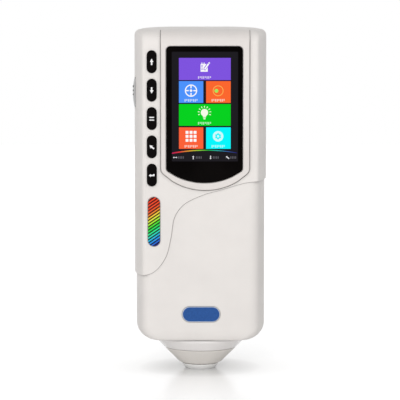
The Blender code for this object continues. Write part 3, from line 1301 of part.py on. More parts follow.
def port_cutters():
    usb = box("usb_opening", (PORT_BOARD_X, PORT_Y - USB_HALF_HEIGHT - GAP, USB_Z - USB_HALF_LENGTH - GAP),
              (PORT_WALL_X + OVERRUN, PORT_Y + USB_HALF_HEIGHT + GAP, USB_Z + USB_HALF_LENGTH + GAP))
    jack = cylinders("jack_opening", [(0, PORT_Y, JACK_Z)], JACK_BARREL_RADIUS + GAP, "X",
                     PORT_BOARD_X, PORT_WALL_X + OVERRUN)
    return usb, jack


def make_port_board():
    low, high = port_board_span()
    board = box("port_board", (PORT_BOARD_X, PORT_Y - JACK_HALF - PORT_BOARD_MARGIN, low),
                (PORT_BOARD_X + PORT_BOARD_THICKNESS, port_board_back_y(), high))
    return as_part(board, "board_green")


PORT_BASE_X = PORT_BOARD_X + PORT_BOARD_THICKNESS + GAP


def make_usb_port():
    """Metal socket with a tongue inside its mouth."""
    port = box("usb_port", (PORT_BASE_X, PORT_Y - USB_HALF_HEIGHT, USB_Z - USB_HALF_LENGTH),
               (JACK_MOUTH_X, PORT_Y + USB_HALF_HEIGHT, USB_Z + USB_HALF_LENGTH))
    mouth_y, mouth_z = USB_HALF_HEIGHT - USB_SKIN, USB_HALF_LENGTH - USB_SKIN
    mouth = box("usb_mouth", (JACK_MOUTH_X - USB_MOUTH_DEPTH, PORT_Y - mouth_y, USB_Z - mouth_z),
                (JACK_MOUTH_X + OVERRUN, PORT_Y + mouth_y, USB_Z + mouth_z))
    tongue_y, tongue_z = USB_TONGUE_HALF_HEIGHT, USB_TONGUE_HALF_LENGTH
    cut(mouth, box("usb_tongue",
                   (JACK_MOUTH_X - USB_MOUTH_DEPTH - OVERRUN, PORT_Y - tongue_y, USB_Z - tongue_z),
                   (JACK_MOUTH_X - USB_TONGUE_SETBACK, PORT_Y + tongue_y, USB_Z + tongue_z)))
    return as_part(cut(port, mouth), "steel")


def make_dc_jack():
    """Round power socket with a centre pin."""
    shoulder = PORT_WALL_X - WALL - 2 * GAP - PORT_RAIL / 2
    jack = box("dc_jack", (PORT_BASE_X, PORT_Y - JACK_HALF, JACK_Z - JACK_HALF),
               (shoulder, PORT_Y + JACK_HALF, JACK_Z + JACK_HALF))
    join(jack, cylinders("jack_barrel", [(0, PORT_Y, JACK_Z)], JACK_BARREL_RADIUS, "X",
                         shoulder - GAP, JACK_MOUTH_X, TURN_STEPS // 2))
    bore = cylinders("jack_bore", [(0, PORT_Y, JACK_Z)], JACK_BORE_RADIUS, "X",
                     JACK_MOUTH_X - JACK_BORE_DEPTH, JACK_MOUTH_X + OVERRUN, TURN_STEPS // 2)
    cut(bore, cylinders("jack_pin", [(0, PORT_Y, JACK_Z)], JACK_PIN_RADIUS, "X",
                        JACK_MOUTH_X - JACK_BORE_DEPTH - OVERRUN, JACK_MOUTH_X - JACK_PIN_SETBACK))
    return as_part(cut(jack, bore), "black_plastic")


# Measuring head

def cone_radius(z):
    return CONE_TIP_RADIUS + z


def sphere_radius_at(z, radius):
    """Radius of a horizontal slice of a sphere about the sphere's centre."""
    return sqrt(max(radius * radius - (z - SPHERE_Z) ** 2, 0))


HEAD_CLEAR_RADIUS = SPHERE_RADIUS + SPHERE_CLEARANCE
COLLAR_BORE = SPHERE_RADIUS + SPHERE_FLANGE + GAP
SHOULDER_Z = SPHERE_Z - SPHERE_FLANGE_HEIGHT - GAP
RIM_LOW_Z = RIM_RADIUS - CONE_TIP_RADIUS
RIM_HIGH_Z = HOUSING_FLOOR - GAP
FLANGE_LOW_Z = HOUSING_FLOOR + LOWER_WALL + 2 * GAP
FLANGE_HIGH_Z = FLANGE_LOW_Z + COLLAR_FLANGE_HEIGHT


def clearance_arc(low_z, high_z):
    """Inner side of the head, a little larger than the sphere, from low to high."""
    steps = SPHERE_STEPS // 2
    heights = [low_z + (high_z - low_z) * i / steps for i in range(steps + 1)]
    return [(sphere_radius_at(z, HEAD_CLEAR_RADIUS), z) for z in heights]


def make_head_collar():
    """Upper band of the measuring head, gripped by the housing floor in a groove."""
    low = BAND_Z + GAP / 2
    flange_radius = NECK_GROOVE_RADIUS + COLLAR_FLANGE
    outer = [(flange_radius, FLANGE_HIGH_Z), (flange_radius, FLANGE_LOW_Z),
             (NECK_GROOVE_RADIUS, FLANGE_LOW_Z), (NECK_GROOVE_RADIUS, RIM_HIGH_Z), (RIM_RADIUS, RIM_HIGH_Z),
             (RIM_RADIUS, RIM_LOW_Z), (cone_radius(low), low)]
    inner = clearance_arc(low, SHOULDER_Z) + [(COLLAR_BORE, SHOULDER_Z), (COLLAR_BORE, FLANGE_HIGH_Z)]
    return as_part(turned("head_collar", outer + inner), "white_plastic")


def make_measuring_cone():
    """Lower cone that carries the sphere over the tip ring."""
    high = BAND_Z - GAP / 2
    low = RING_HEIGHT + GAP
    outer = [(cone_radius(high), high), (cone_radius(NECK_Z), NECK_Z), (RING_TOP_RADIUS, low)]
    inner = clearance_arc(low, high)
    return as_part(turned("measuring_cone", outer + inner), "warm_white_plastic")


def make_aperture_ring():
    """Tip ring with the round measuring aperture and a stepped shelf under the sphere."""
    shelf_z = RING_HEIGHT - RING_SHELF_DROP
    profile = [(RING_TOP_RADIUS, RING_HEIGHT), (RING_RADIUS, RING_ROUND), (RING_RADIUS - RING_ROUND, 0),
               (RING_BORE, 0), (RING_THROAT, shelf_z), (RING_SHELF, shelf_z),
               (RING_SHELF, RING_HEIGHT)]
    return as_part(turned("aperture_ring", profile), "white_plastic")


def make_sphere_lower():
    """Lower half of the integrating sphere with its flange and measuring port."""
    inner_radius = SPHERE_RADIUS - SPHERE_WALL
    top = SPHERE_Z - GAP / 2
    under = top - SPHERE_FLANGE_HEIGHT
    flange = SPHERE_RADIUS + SPHERE_FLANGE
    first = -180 / pi * atan2(SPHERE_Z - under, SPHERE_RADIUS)
    last = -180 / pi * atan2(sqrt(SPHERE_RADIUS ** 2 - SPHERE_PORT ** 2), SPHERE_PORT)
    outer = arc_points((0, SPHERE_Z), SPHERE_RADIUS, first, last, SPHERE_STEPS)
    start = -180 / pi * atan2(sqrt(inner_radius ** 2 - SPHERE_PORT ** 2), SPHERE_PORT)
    end = -180 / pi * atan2(GAP / 2, inner_radius)
    inner = arc_points((0, SPHERE_Z), inner_radius, start, end, SPHERE_STEPS)
    profile = [(flange, top), (flange, under)] + outer + inner
    return as_part(turned("sphere_lower", profile, INNER_TURN_STEPS), "sphere_white")


SPHERE_NECK_Z = SPHERE_Z + SPHERE_RADIUS + SPHERE_NECK_HEIGHT
LAMP_ANGLES = tuple(2 * pi * i / LAMP_COUNT for i in range(LAMP_COUNT))
LAMP_PLACES = tuple((LAMP_CIRCLE * cos(angle), LAMP_CIRCLE * sin(angle), 0) for angle in LAMP_ANGLES)
LAMP_BOARD_Z = SPHERE_Z + sqrt(SPHERE_RADIUS ** 2 - SPHERE_NECK_RADIUS ** 2) + GAP


def make_sphere_upper():
    """Upper half of the sphere with its neck, sensor bore and lamp holes."""
    inner_radius = SPHERE_RADIUS - SPHERE_WALL
    low = SPHERE_Z + GAP / 2
    over = low + SPHERE_FLANGE_HEIGHT
    flange = SPHERE_RADIUS + SPHERE_FLANGE
    neck_angle = 180 / pi * atan2(sqrt(SPHERE_RADIUS ** 2 - SPHERE_NECK_RADIUS ** 2), SPHERE_NECK_RADIUS)
    flange_angle = 180 / pi * atan2(over - SPHERE_Z, SPHERE_RADIUS)
    outer = arc_points((0, SPHERE_Z), SPHERE_RADIUS, neck_angle, flange_angle, SPHERE_STEPS)
    bore_angle = 180 / pi * atan2(sqrt(inner_radius ** 2 - SPHERE_BORE ** 2), SPHERE_BORE)
    inner = arc_points((0, SPHERE_Z), inner_radius, 180 / pi * atan2(GAP / 2, inner_radius), bore_angle,
                       SPHERE_STEPS)
    profile = [(SPHERE_NECK_RADIUS, SPHERE_NECK_Z)] + outer + [(flange, over), (flange, low)] + inner \
        + [(SPHERE_BORE, SPHERE_NECK_Z)]
    sphere = turned("sphere_upper", profile, INNER_TURN_STEPS)
    cut(sphere, cylinders("lamp_holes", LAMP_PLACES, LAMP_RADIUS + GAP, "Z",
                          SPHERE_Z + SPHERE_FLANGE_HEIGHT * 2, LAMP_BOARD_Z + OVERRUN))
    return as_part(sphere, "sphere_white")


def make_lamp_board():
    """Ring board on the shoulder of the sphere."""
    inner, outer = SPHERE_NECK_RADIUS + GAP, LAMP_CIRCLE + LAMP_RADIUS + LAMP_BOARD_MARGIN
    high = LAMP_BOARD_Z + LAMP_BOARD_THICKNESS
    section = [(outer, high), (outer, LAMP_BOARD_Z), (inner, LAMP_BOARD_Z), (inner, high)]
    return as_part(turned("lamp_board", section, INNER_TURN_STEPS), "board_green")


def make_lamps():
    high = LAMP_BOARD_Z - GAP
    lamp = cylinders("lamp", [(0, 0, 0)], LAMP_RADIUS, "Z", high - LAMP_LENGTH, high)
    places = [Matrix.Translation(place) for place in LAMP_PLACES]
    return placed_copies("lamp", lamp, places, "lamp_clear")


TUBE_FLANGE_Z = SPHERE_NECK_Z + GAP
TUBE_TOP_Z = TUBE_FLANGE_Z + TUBE_RISE
LENS_Z = TUBE_TOP_Z - TUBE_POCKET_DEPTH + GAP
SENSOR_BOARD_Z = TUBE_TOP_Z + GAP


def make_lens_tube():
    """Tube that holds the lens over the bore of the sphere."""
    profile = [(TUBE_RADIUS, TUBE_TOP_Z), (TUBE_RADIUS, TUBE_FLANGE_Z), (SPHERE_BORE - GAP, TUBE_FLANGE_Z),
               (SPHERE_BORE - GAP, SPHERE_NECK_Z - TUBE_INSERT), (TUBE_BORE, SPHERE_NECK_Z - TUBE_INSERT),
               (TUBE_BORE, LENS_Z - GAP), (TUBE_POCKET_RADIUS, LENS_Z - GAP),
               (TUBE_POCKET_RADIUS, TUBE_TOP_Z)]
    return as_part(turned("lens_tube", profile, INNER_TURN_STEPS), "black_plastic")


def make_detector_lens():
    lens = cylinders("detector_lens", [(0, 0, 0)], TUBE_POCKET_RADIUS - GAP, "Z", LENS_Z,
                     LENS_Z + LENS_THICKNESS, TURN_STEPS // 2)
    return as_part(lens, "lens_glass")


def make_colour_sensor():
    chip = box("colour_sensor", (-SENSOR_HALF, -SENSOR_HALF, LENS_Z + LENS_THICKNESS + GAP),
               (SENSOR_HALF, SENSOR_HALF, SENSOR_BOARD_Z - GAP))
    return as_part(chip, "black_plastic")


def make_sensor_board():
    outline = rounded_rectangle((-SENSOR_BOARD_HALF_X, -SENSOR_BOARD_HALF_Y),
                                (SENSOR_BOARD_HALF_X, SENSOR_BOARD_HALF_Y), BOARD_CORNER)
    board = prism("sensor_board", [outline], "Z", SENSOR_BOARD_Z, SENSOR_BOARD_Z + SENSOR_BOARD_THICKNESS)
    return as_part(board, "board_green")


def make_sensor_ribbon():
    """Flat lead from the sensor board up to the back of the main board."""
    start_z = SENSOR_BOARD_Z + SENSOR_BOARD_THICKNESS + GAP + RIBBON_THICKNESS / 2
    edge_y = -SENSOR_BOARD_HALF_Y
    end_y = BOARD_BACK_Y + GAP + RIBBON_THICKNESS / 2
    knots = [(edge_y + RIBBON_LAP, start_z), (edge_y, start_z + RIBBON_THICKNESS),
             (end_y, start_z + (BOARD_LOW_Z - start_z) * RIBBON_BEND_SHARE),
             (end_y, BOARD_LOW_Z), (end_y, BOARD_LOW_Z + RIBBON_LAP)]
    path = smooth_path(knots, RIBBON_STEPS)
    outline = offset_path(path, RIBBON_THICKNESS / 2) + offset_path(path, -RIBBON_THICKNESS / 2)[::-1]
    ribbon = prism("sensor_ribbon", [[tuple(point) for point in outline]], "X",
                   -RIBBON_HALF_WIDTH, RIBBON_HALF_WIDTH)
    return as_part(ribbon, "ribbon")



def build():
    """Make every piece of the instrument."""
    make_upper_housing()
    make_lower_cover()
    make_back_cover()
    make_battery_door()
    make_battery_pack()
    make_battery_contacts()
    make_housing_screws()
    make_display_bezel()
    make_screen_window()
    make_lcd_module()
    make_main_board()
    make_board_screws()
    make_key_switches()
    for name, place in zip(KEY_NAMES, key_places()):
        make_key(name, place)
    make_measure_button()
    make_measure_switch()
    make_spectrum_badge()
    make_label_badge()
    make_switch_frame()
    make_power_rocker()
    make_port_board()
    make_usb_port()
    make_dc_jack()
    make_head_collar()
    make_measuring_cone()
    make_aperture_ring()
    make_sphere_lower()
    make_sphere_upper()
    make_lamp_board()
    make_lamps()
    make_lens_tube()
    make_detector_lens()
    make_colour_sensor()
    make_sensor_board()
    make_sensor_ribbon()
    bpy.context.view_layer.update()
    for item in PARTS.objects:
        if item.type == "MESH":
            item.data.shade_smooth()
            item.data.set_sharp_from_angle(angle=radians(SMOOTH_ANGLE))


clear_scene()
PARTS = new_collection("colorimeter")
CUTTERS = new_collection("cutters")
ASSEMBLY = bpy.data.objects.new("colorimeter_assembly", None)
PARTS.objects.link(ASSEMBLY)
build()
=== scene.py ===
"""Dressed model of a handheld colorimeter that stands upright on its measuring tip.

Metres, +Z up the measuring axis, screen towards -Y, measure button on -X, sockets on +X.
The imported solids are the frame. Pieces that are seen are built finer here and stand for
their solids; the rest of the solids keep their shape and get a real finish.
"""

import logging
from collections.abc import Callable, Iterable, Sequence
from dataclasses import dataclass, replace
from enum import Enum
from math import atan2, copysign, cos, degrees, hypot, pi, radians, sin, sqrt, tan
from typing import ClassVar

import bmesh
import bpy
from mathutils import Matrix, Vector
from mathutils.bvhtree import BVHTree
from mathutils.interpolate import poly_3d_calc


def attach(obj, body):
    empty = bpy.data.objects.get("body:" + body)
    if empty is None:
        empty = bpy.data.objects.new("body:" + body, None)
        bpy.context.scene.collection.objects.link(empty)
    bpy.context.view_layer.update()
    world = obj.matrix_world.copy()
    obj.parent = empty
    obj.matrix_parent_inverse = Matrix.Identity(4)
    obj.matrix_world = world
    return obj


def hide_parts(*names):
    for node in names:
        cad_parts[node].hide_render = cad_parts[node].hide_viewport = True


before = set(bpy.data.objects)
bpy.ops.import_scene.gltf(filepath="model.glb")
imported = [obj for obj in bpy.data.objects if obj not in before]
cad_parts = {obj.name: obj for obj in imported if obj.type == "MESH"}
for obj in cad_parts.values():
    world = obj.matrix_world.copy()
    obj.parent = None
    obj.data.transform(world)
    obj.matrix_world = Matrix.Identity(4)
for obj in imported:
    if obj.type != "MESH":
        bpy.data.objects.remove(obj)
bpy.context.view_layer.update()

LOG = logging.getLogger("colorimeter")

Point = tuple[float, float]
Outline = list[Point]
Place = tuple[float, float, float]
Colour = tuple[float, float, float]
Item = bpy.types.Object
Node = bpy.types.Node
Socket = bpy.types.NodeSocket
Tree = bpy.types.NodeTree

MM = 0.001
GAP = 0.0003  # room between two pieces
OVERRUN = 0.004  # how far a cutter reaches past the piece that it cuts
WELD = 0.00001  # points closer than this are one point
SMOOTH_ANGLE = radians(38.0)  # edges sharper than this stay sharp
SKIN_TURN = cos(radians(20.0))  # normals within this turn belong to one skin
LARGE_FACE = 0.000002  # square metres
SLIP = 0.00007  # points of large faces this close to the form are put on it


class Axis(Enum):
    """Direction along which a shape is drawn out."""

    X = 0
    Y = 1
    Z = 2

    def turn(self) -> Matrix:
        """Turn that takes the Z axis to this axis."""
        turns = (Matrix.Rotation(pi / 2, 4, "Y"), Matrix.Rotation(-pi / 2, 4, "X"), Matrix.Identity(4))
        return turns[self.value]

    def sheet(self) -> Matrix:
        """Frame of a flat outline: (y, z) for X and (x, z) for Y."""
        rows = ((0, 0, 1, 0), (1, 0, 0, 0)) if self is Axis.X else ((1, 0, 0, 0), (0, 0, -1, 0))
        return Matrix((*rows, (0, 1, 0, 0), (0, 0, 0, 1)))


class Join(Enum):
    """Ways to combine two solid shapes."""

    CUT = "DIFFERENCE"
    ADD = "UNION"
    KEEP = "INTERSECT"


# Colours and shader nodes

def paint(red: int, green: int, blue: int) -> Colour:
    """Linear colour for a swatch given as it looks on a screen, from 0 to 255."""
    shares = (value / 255 for value in (red, green, blue))
    return tuple(s / 12.92 if s <= 0.04045 else ((s + 0.055) / 1.055) ** 2.4 for s in shares)


def dimmed(colour: Colour, share: float) -> Colour:
    """A share of a colour's light."""
    return tuple(value * share for value in colour)


class Graph:
    """Adds nodes to one shader tree and links them."""

    def __init__(self, tree: Tree) -> None:
        """Keep the tree that the nodes go into."""
        self.tree = tree

    def add(self, kind: str, inputs: dict | None = None, **settings: object) -> Node:
        """Add one node.

        Args:
            kind: Node type without its ShaderNode prefix.
            inputs: Values or sockets for the inputs, by name or number.
            settings: Properties of the node itself.

        Returns:
            The new node.
        """
        node = self.tree.nodes.new(("" if kind.startswith("NodeGroup") else "ShaderNode") + kind)
        for name, value in settings.items():
            setattr(node, name, value)
        self.fill(node, inputs or {})
        return node

    def fill(self, node: Node, inputs: dict) -> None:
        """Link sockets to a node's inputs, or write plain values on them.

        Args:
            node: The node.
            inputs: Values or sockets for the inputs, by name or number.
        """
        for name, value in inputs.items():
            socket = node.inputs[name]
            if isinstance(value, Socket):
                self.tree.links.new(value, socket)
            elif isinstance(value, tuple) and len(value) == 3 and socket.type == "RGBA":
                socket.default_value = (*value, 1.0)
            else:
                socket.default_value = value

    def surface(self, inputs: dict) -> None:
        """Fill inputs of the material's own shader."""
        self.fill(self.tree.nodes["Principled BSDF"], inputs)

    def glow(self, colour: Socket) -> None:
        """Let the surface glow in a colour, under dark gloss."""
        self.surface({"Emission Color": colour, "Emission Strength": 1.0, "Base Color": (0.001, 0.001, 0.001),
                      "Roughness": 0.05, "Specular IOR Level": 0.02})

    def group(self, tree: Tree, **values: float) -> bpy.types.NodeOutputs:
        """Outputs of a shared group that is placed with values for its inputs."""
        return self.add("Group", values, node_tree=tree).outputs

    def calculate(self, operation: str, first: object, second: object = 0.0) -> Socket:
        """Result of a Math node for two numbers or sockets."""
        return self.add("Math", {0: first, 1: second}, operation=operation).outputs[0]

    def times(self, first: object, second: object) -> Socket:
        """Product of two numbers or sockets."""
        return self.calculate("MULTIPLY", first, second)

    def scaled(self, value: object, factor: float, offset: object = 0.0) -> Socket:
        """A value times a factor plus an offset."""
        return self.add("Math", {0: value, 1: factor, 2: offset}, operation="MULTIPLY_ADD").outputs[0]

    def remap(self, value: object, low: float, high: float, new_low: float = 0.0, new_high: float = 1.0) -> Socket:
        """Take the range from low to high to the new range, clamped."""
        return self.add("MapRange", {0: value, 1: low, 2: high, 3: new_low, 4: new_high}, clamp=True).outputs[0]

    def blend(self, factor: object, first: object, second: object, mode: str = "MIX") -> Socket:
        """Mix two colours; the factor is the share of the second one."""
        inputs = {0: factor, 6: first, 7: second}
        return self.add("Mix", inputs, data_type="RGBA", blend_type=mode, clamp_factor=True).outputs[2]

    def bump(self, strength: float, depth: float, height: Socket) -> Socket:
        """Normal of a surface with fine relief."""
        return self.add("Bump", {"Strength": strength, "Distance": depth, "Height": height}).outputs[0]

    def place(self) -> Socket:
        """The piece's own coordinates."""
        return self.add("TexCoord").outputs["Object"]

    def split(self, vector: Socket) -> bpy.types.NodeOutputs:
        """The three numbers of a vector."""
        return self.add("SeparateXYZ", {0: vector}).outputs

    def noise(self, scale: object, detail: float = 2.0, vector: object = None) -> Socket:
        """Noise from 0 to 1, with its scale in cells to the metre of the piece's own coordinates."""
        inputs = {"Vector": vector or self.place(), "Scale": scale, "Detail": detail}
        return self.add("TexNoise", inputs).outputs["Fac"]

    def occlusion(self, reach: object, samples: int) -> Socket:
        """How open the surface is within a reach, from 0 to 1."""
        return self.add("AmbientOcclusion", {"Distance": reach}, samples=samples).outputs["AO"]

    def ramp(self, value: object, stops: Sequence[tuple[float, Colour]]) -> Socket:
        """Colour ramp.

        Args:
            value: Socket that is read.
            stops: Places and their colours, in order.

        Returns:
            The colour's socket.
        """
        node = self.add("ValToRGB", {0: value})
        band = node.color_ramp
        while len(band.elements) < len(stops):
            band.elements.new(1.0)
        for element, (place, colour) in zip(band.elements, stops):
            element.position = place
            element.color = (*colour, 1.0)
        return node.outputs[0]


def shader_group(name: str, inputs: dict[str, float], *outputs: str) -> tuple[Graph, bpy.types.NodeOutputs, Node]:
    """Start a shared shader group whose sockets are numbers.

    Args:
        name: The group's name.
        inputs: Inputs with their usual values.
        outputs: Names of the outputs.

    Returns:
        The group's graph, what it is given and its output node.
    """
    graph = Graph(bpy.data.node_groups.new(name, "ShaderNodeTree"))
    sockets = [(label, "INPUT", usual) for label, usual in inputs.items()]
    for label, way, usual in sockets + [(label, "OUTPUT", 0.0) for label in outputs]:
        socket = graph.tree.interface.new_socket(name=label, in_out=way, socket_type="NodeSocketFloat")
        socket.default_value = usual
    return graph, graph.add("NodeGroupInput").outputs, graph.add("NodeGroupOutput")


class Effects:
    """Shader groups that several finishes share, each built once."""

    def __init__(self) -> None:
        """Build every group."""
        self.grain = self._grain()
        self.wear = self._wear()
        self.dust = self._dust()
        self.marks = self._marks()
        self.pixels = self._pixels()
        self.creases = self._creases()

    @staticmethod
    def _grain() -> Tree:
        """Moulded or brushed surface: fine height and slow tone.

        Returns:
            Group with Size, Clouds and Stretch in, Height and Tone out.
        """
        graph, given, result = shader_group(
            "moulded_grain", {"Size": 4200.0, "Clouds": 60.0, "Stretch": 1.0}, "Height", "Tone")
        x, y, z = graph.split(graph.place())
        pulled = graph.add("CombineXYZ", {0: x, 1: y, 2: graph.times(z, given["Stretch"])}).outputs[0]
        fine = graph.noise(given["Size"], 3.0, pulled)
        coarse = graph.noise(graph.times(given["Size"], 0.31), 1.0, pulled)
        graph.fill(result, {"Height": graph.scaled(fine, 0.65, graph.times(coarse, 0.35)),
                            "Tone": graph.remap(graph.noise(given["Clouds"], 3.0), 0.3, 0.7)})
        return graph.tree

    @staticmethod
    def _wear() -> Tree:
        """Rubbed edges, from the sharpness of the surface and a patchy noise.

        Returns:
            Group with Reach and Patches in, Mask out.
        """
        graph, given, result = shader_group("edge_wear", {"Reach": 0.56, "Patches": 350.0}, "Mask")
        above = graph.calculate("SUBTRACT", graph.add("NewGeometry").outputs["Pointiness"], given["Reach"])
        patches = graph.remap(graph.noise(given["Patches"], 4.0), 0.38, 0.66)
        graph.fill(result, {"Mask": graph.times(graph.remap(above, 0.0, 0.06), patches)})
        return graph.tree

    @staticmethod
    def _dust() -> Tree:
        """Dust that has settled on faces turned up.

        Returns:
            Group with Amount in, Mask out.
        """
        graph, given, result = shader_group("settled_dust", {"Amount": 0.3}, "Mask")
        upward = graph.remap(graph.split(graph.add("TexCoord").outputs["Normal"])[2], 0.35, 0.95)
        specks = graph.remap(graph.noise(1500.0, 4.0), 0.45, 0.75)
        graph.fill(result, {"Mask": graph.times(graph.times(upward, specks), given["Amount"])})
        return graph.tree

    @staticmethod
    def _marks() -> Tree:
        """Finger marks and hairline scratches.

        Returns:
            Group with Smudges and Scratches in, Smudge and Scratch out.
        """
        graph, given, result = shader_group(
            "handling_marks", {"Smudges": 70.0, "Scratches": 240.0}, "Smudge", "Scratch")
        smudge = graph.remap(graph.noise(given["Smudges"], 5.0), 0.42, 0.7)
        slanted = graph.add("Mapping", {"Vector": graph.place(), "Rotation": (0.3, 0.5, 0.8),
                                        "Scale": (1.0, 1.0, 30.0)}).outputs[0]
        hair = graph.calculate("SUBTRACT", graph.noise(given["Scratches"], 2.0, slanted), 0.5)
        thin = graph.remap(graph.calculate("ABSOLUTE", hair), 0.004, 0.0)
        graph.fill(result, {"Smudge": smudge, "Scratch": graph.times(thin, smudge)})
        return graph.tree

    @staticmethod
    def _creases() -> Tree:
        """Painted shade that gathers where two pieces meet: ambient occlusion darkens the colour there.

        Returns:
            Group with Reach in, Mask out.
        """
        graph, given, result = shader_group("painted_crease_shade", {"Reach": 0.0024}, "Mask")
        graph.fill(result, {"Mask": graph.remap(graph.occlusion(given["Reach"], 8), 0.97, 0.6)})
        return graph.tree

    @staticmethod
    def _pixels() -> Tree:
        """Dot grid of a lit panel.

        Returns:
            Group with Pitch in, Mask out: 1 between the dots.
        """
        graph, given, result = shader_group("panel_dots", {"Pitch": 0.00016}, "Mask")
        x, _, z = graph.split(graph.place())
        steps = [graph.calculate("FRACT", graph.calculate("DIVIDE", part, given["Pitch"])) for part in (x, z)]
        graph.fill(result, {"Mask": graph.calculate("MAXIMUM", *(graph.remap(step, 0.78, 0.86) for step in steps))})
        return graph.tree


EFFECTS = Effects()


@dataclass(frozen=True)
class Finish:
    """What every finish has: a name, a slot name and a look."""

    name: str
    slot: str

    def material(self) -> bpy.types.Material:
        """The finish as a material, made the first time that it is asked for.

        Returns:
            The material.
        """
        made = bpy.data.materials.get(self.name)
        if made is None:
            made = bpy.data.materials.new(self.name)
            made.use_nodes = True
            self.dress(Graph(made.node_tree))
        return made

    def dress(self, graph: Graph) -> None:
        """Fill the material's nodes."""
        raise NotImplementedError


@dataclass(frozen=True)
class MouldedFinish(Finish):
    """Moulded plastic or rubber with a spark-eroded grain, wear, dust, finger marks and painted shade in creases."""

    colour: Colour = (0.8, 0.8, 0.8)
    roughness: float = 0.4
    grain: float = 4200.0
    depth: float = 0.000012
    clouds: float = 45.0
    tint: float = 0.05
    worn: float = 0.25
    dusty: float = 0.1
    gloss: float = 0.5
    coat: float = 0.0
    # share of painted shade where pieces meet
    crease_shade: float = 0.6
    dust_colour: Colour = paint(168, 162, 152)

    def dress(self, graph: Graph) -> None:
        """Fill the material's nodes.

        Args:
            graph: The material's graph.
        """
        grain = graph.group(EFFECTS.grain, Size=self.grain, Clouds=self.clouds)
        dust = graph.group(EFFECTS.dust, Amount=self.dusty)["Mask"]
        marks = graph.group(EFFECTS.marks)
        wear = graph.times(graph.group(EFFECTS.wear)["Mask"], self.worn)
        shade = graph.times(graph.group(EFFECTS.creases)["Mask"], self.crease_shade)
        colour = graph.blend(grain["Tone"], dimmed(self.colour, 1 - self.tint), self.colour)
        colour = graph.blend(wear, colour, tuple(value + (1 - value) * 0.16 for value in self.colour))
        colour = graph.blend(dust, colour, self.dust_colour)
        rough = graph.scaled(dust, 0.3, graph.scaled(marks["Smudge"], -0.07, self.roughness))
        height = graph.scaled(marks["Scratch"], -0.5, grain["Height"])
        # painted shade: the crease mask darkens the base colour towards 35 % of it
        graph.surface({"Base Color": graph.blend(shade, colour, dimmed(self.colour, 0.35)),
                       "Roughness": graph.scaled(grain["Height"], 0.08, rough),
                       "Normal": graph.bump(0.7, self.depth, height), "Specular IOR Level": self.gloss,
                       "Coat Weight": self.coat, "Coat Roughness": 0.08})


@dataclass(frozen=True)
class PlatedFinish(Finish):
    """Plated or brushed metal with fine lines, tarnish and scratches."""

    colour: Colour = (0.6, 0.6, 0.6)
    roughness: float = 0.3
    tarnish: Colour = (0.3, 0.28, 0.25)

    def dress(self, graph: Graph) -> None:
        """Fill the material's nodes.

        Args:
            graph: The material's graph.
        """
        grain = graph.group(EFFECTS.grain, Size=2500.0, Clouds=250.0, Stretch=0.08)
        smudge = graph.group(EFFECTS.marks, Smudges=300.0, Scratches=900.0)["Smudge"]
        graph.surface({"Base Color": graph.blend(graph.times(smudge, 0.35), self.colour, self.tarnish),
                       "Roughness": graph.scaled(grain["Tone"], 0.12, self.roughness),
                       "Normal": graph.bump(0.5, 0.00001, grain["Height"]), "Metallic": 1.0})


@dataclass(frozen=True)
class GlassFinish(Finish):
    """Polished cover glass, black or clear, with faint smudges."""

    colour: Colour
    roughness: float = 0.03
    gloss: float = 0.02
    clear: float = 0.0

    def dress(self, graph: Graph) -> None:
        """Fill the material's nodes.

        Args:
            graph: The material's graph.
        """
        smudge = graph.group(EFFECTS.marks, Smudges=55.0, Scratches=180.0)["Smudge"]
        film = tuple(value * 1.5 + 0.001 for value in self.colour)
        graph.surface({"Base Color": graph.blend(smudge, self.colour, film),
                       "Roughness": graph.scaled(smudge, 0.05, self.roughness),
                       "Specular IOR Level": self.gloss, "Transmission Weight": self.clear})


@dataclass(frozen=True)
class LitFinish(Finish):
    """Lit area of the screen: a glowing colour with the panel's dots, under gloss."""

    colour: Colour

    def dress(self, graph: Graph) -> None:
        """Fill the material's nodes.

        Args:
            graph: The material's graph.
        """
        darker = dimmed(self.colour, 0.8)
        dots = graph.times(graph.group(EFFECTS.pixels)["Mask"], 0.5)
        smudge = graph.times(graph.group(EFFECTS.marks, Smudges=55.0)["Smudge"], 0.06)
        graph.glow(graph.blend(smudge, graph.blend(dots, self.colour, darker), darker))


@dataclass(frozen=True)
class ArcFinish(Finish):
    """Thin lit arc whose colour runs through the rainbow from left to right."""

    stops: tuple[tuple[float, Colour], ...]
    left: float = -0.0167
    right: float = 0.0215

    def dress(self, graph: Graph) -> None:
        """Fill the material's nodes.

        Args:
            graph: The material's graph.
        """
        across = graph.remap(graph.split(graph.place())[0], self.left, self.right)
        dots = graph.times(graph.group(EFFECTS.pixels)["Mask"], 0.3)
        graph.glow(graph.blend(dots, graph.ramp(across, self.stops), (0.0, 0.0, 0.0)))


@dataclass(frozen=True)
class StripedFinish(Finish):
    """Domed badge: a rainbow printed in slanting stripes under clear resin."""

    stops: tuple[tuple[float, Colour], ...]
    low: float = 0.0775
    high: float = 0.1065
    pitch: float = 0.00191
    slant: float = 0.68
    middle: float = -0.0274
    ink: Colour = (0.05, 0.015, 0.012)

    def dress(self, graph: Graph) -> None:
        """Fill the material's nodes.

        Args:
            graph: The material's graph.
        """
        x, _, z = graph.split(graph.place())
        across = graph.calculate("SUBTRACT", x, self.middle)
        along = graph.calculate("SUBTRACT", z, graph.times(across, self.slant))
        hue = graph.ramp(graph.remap(along, self.low, self.high), self.stops)
        wave = graph.calculate("SINE", graph.times(along, 2 * pi / self.pitch))
        print_ = graph.blend(graph.remap(wave, -0.35, 0.35), graph.blend(1.0, hue, self.ink, "MULTIPLY"), hue)
        tone = graph.times(graph.group(EFFECTS.grain, Size=6000.0, Clouds=400.0)["Tone"], 0.08)
        graph.surface({"Base Color": graph.blend(tone, print_, (0.02, 0.02, 0.02)),
                       "Roughness": graph.scaled(graph.group(EFFECTS.marks)["Smudge"], 0.08, 0.22),
                       "Specular IOR Level": 0.03, "Coat Weight": 0.2, "Coat Roughness": 0.04})


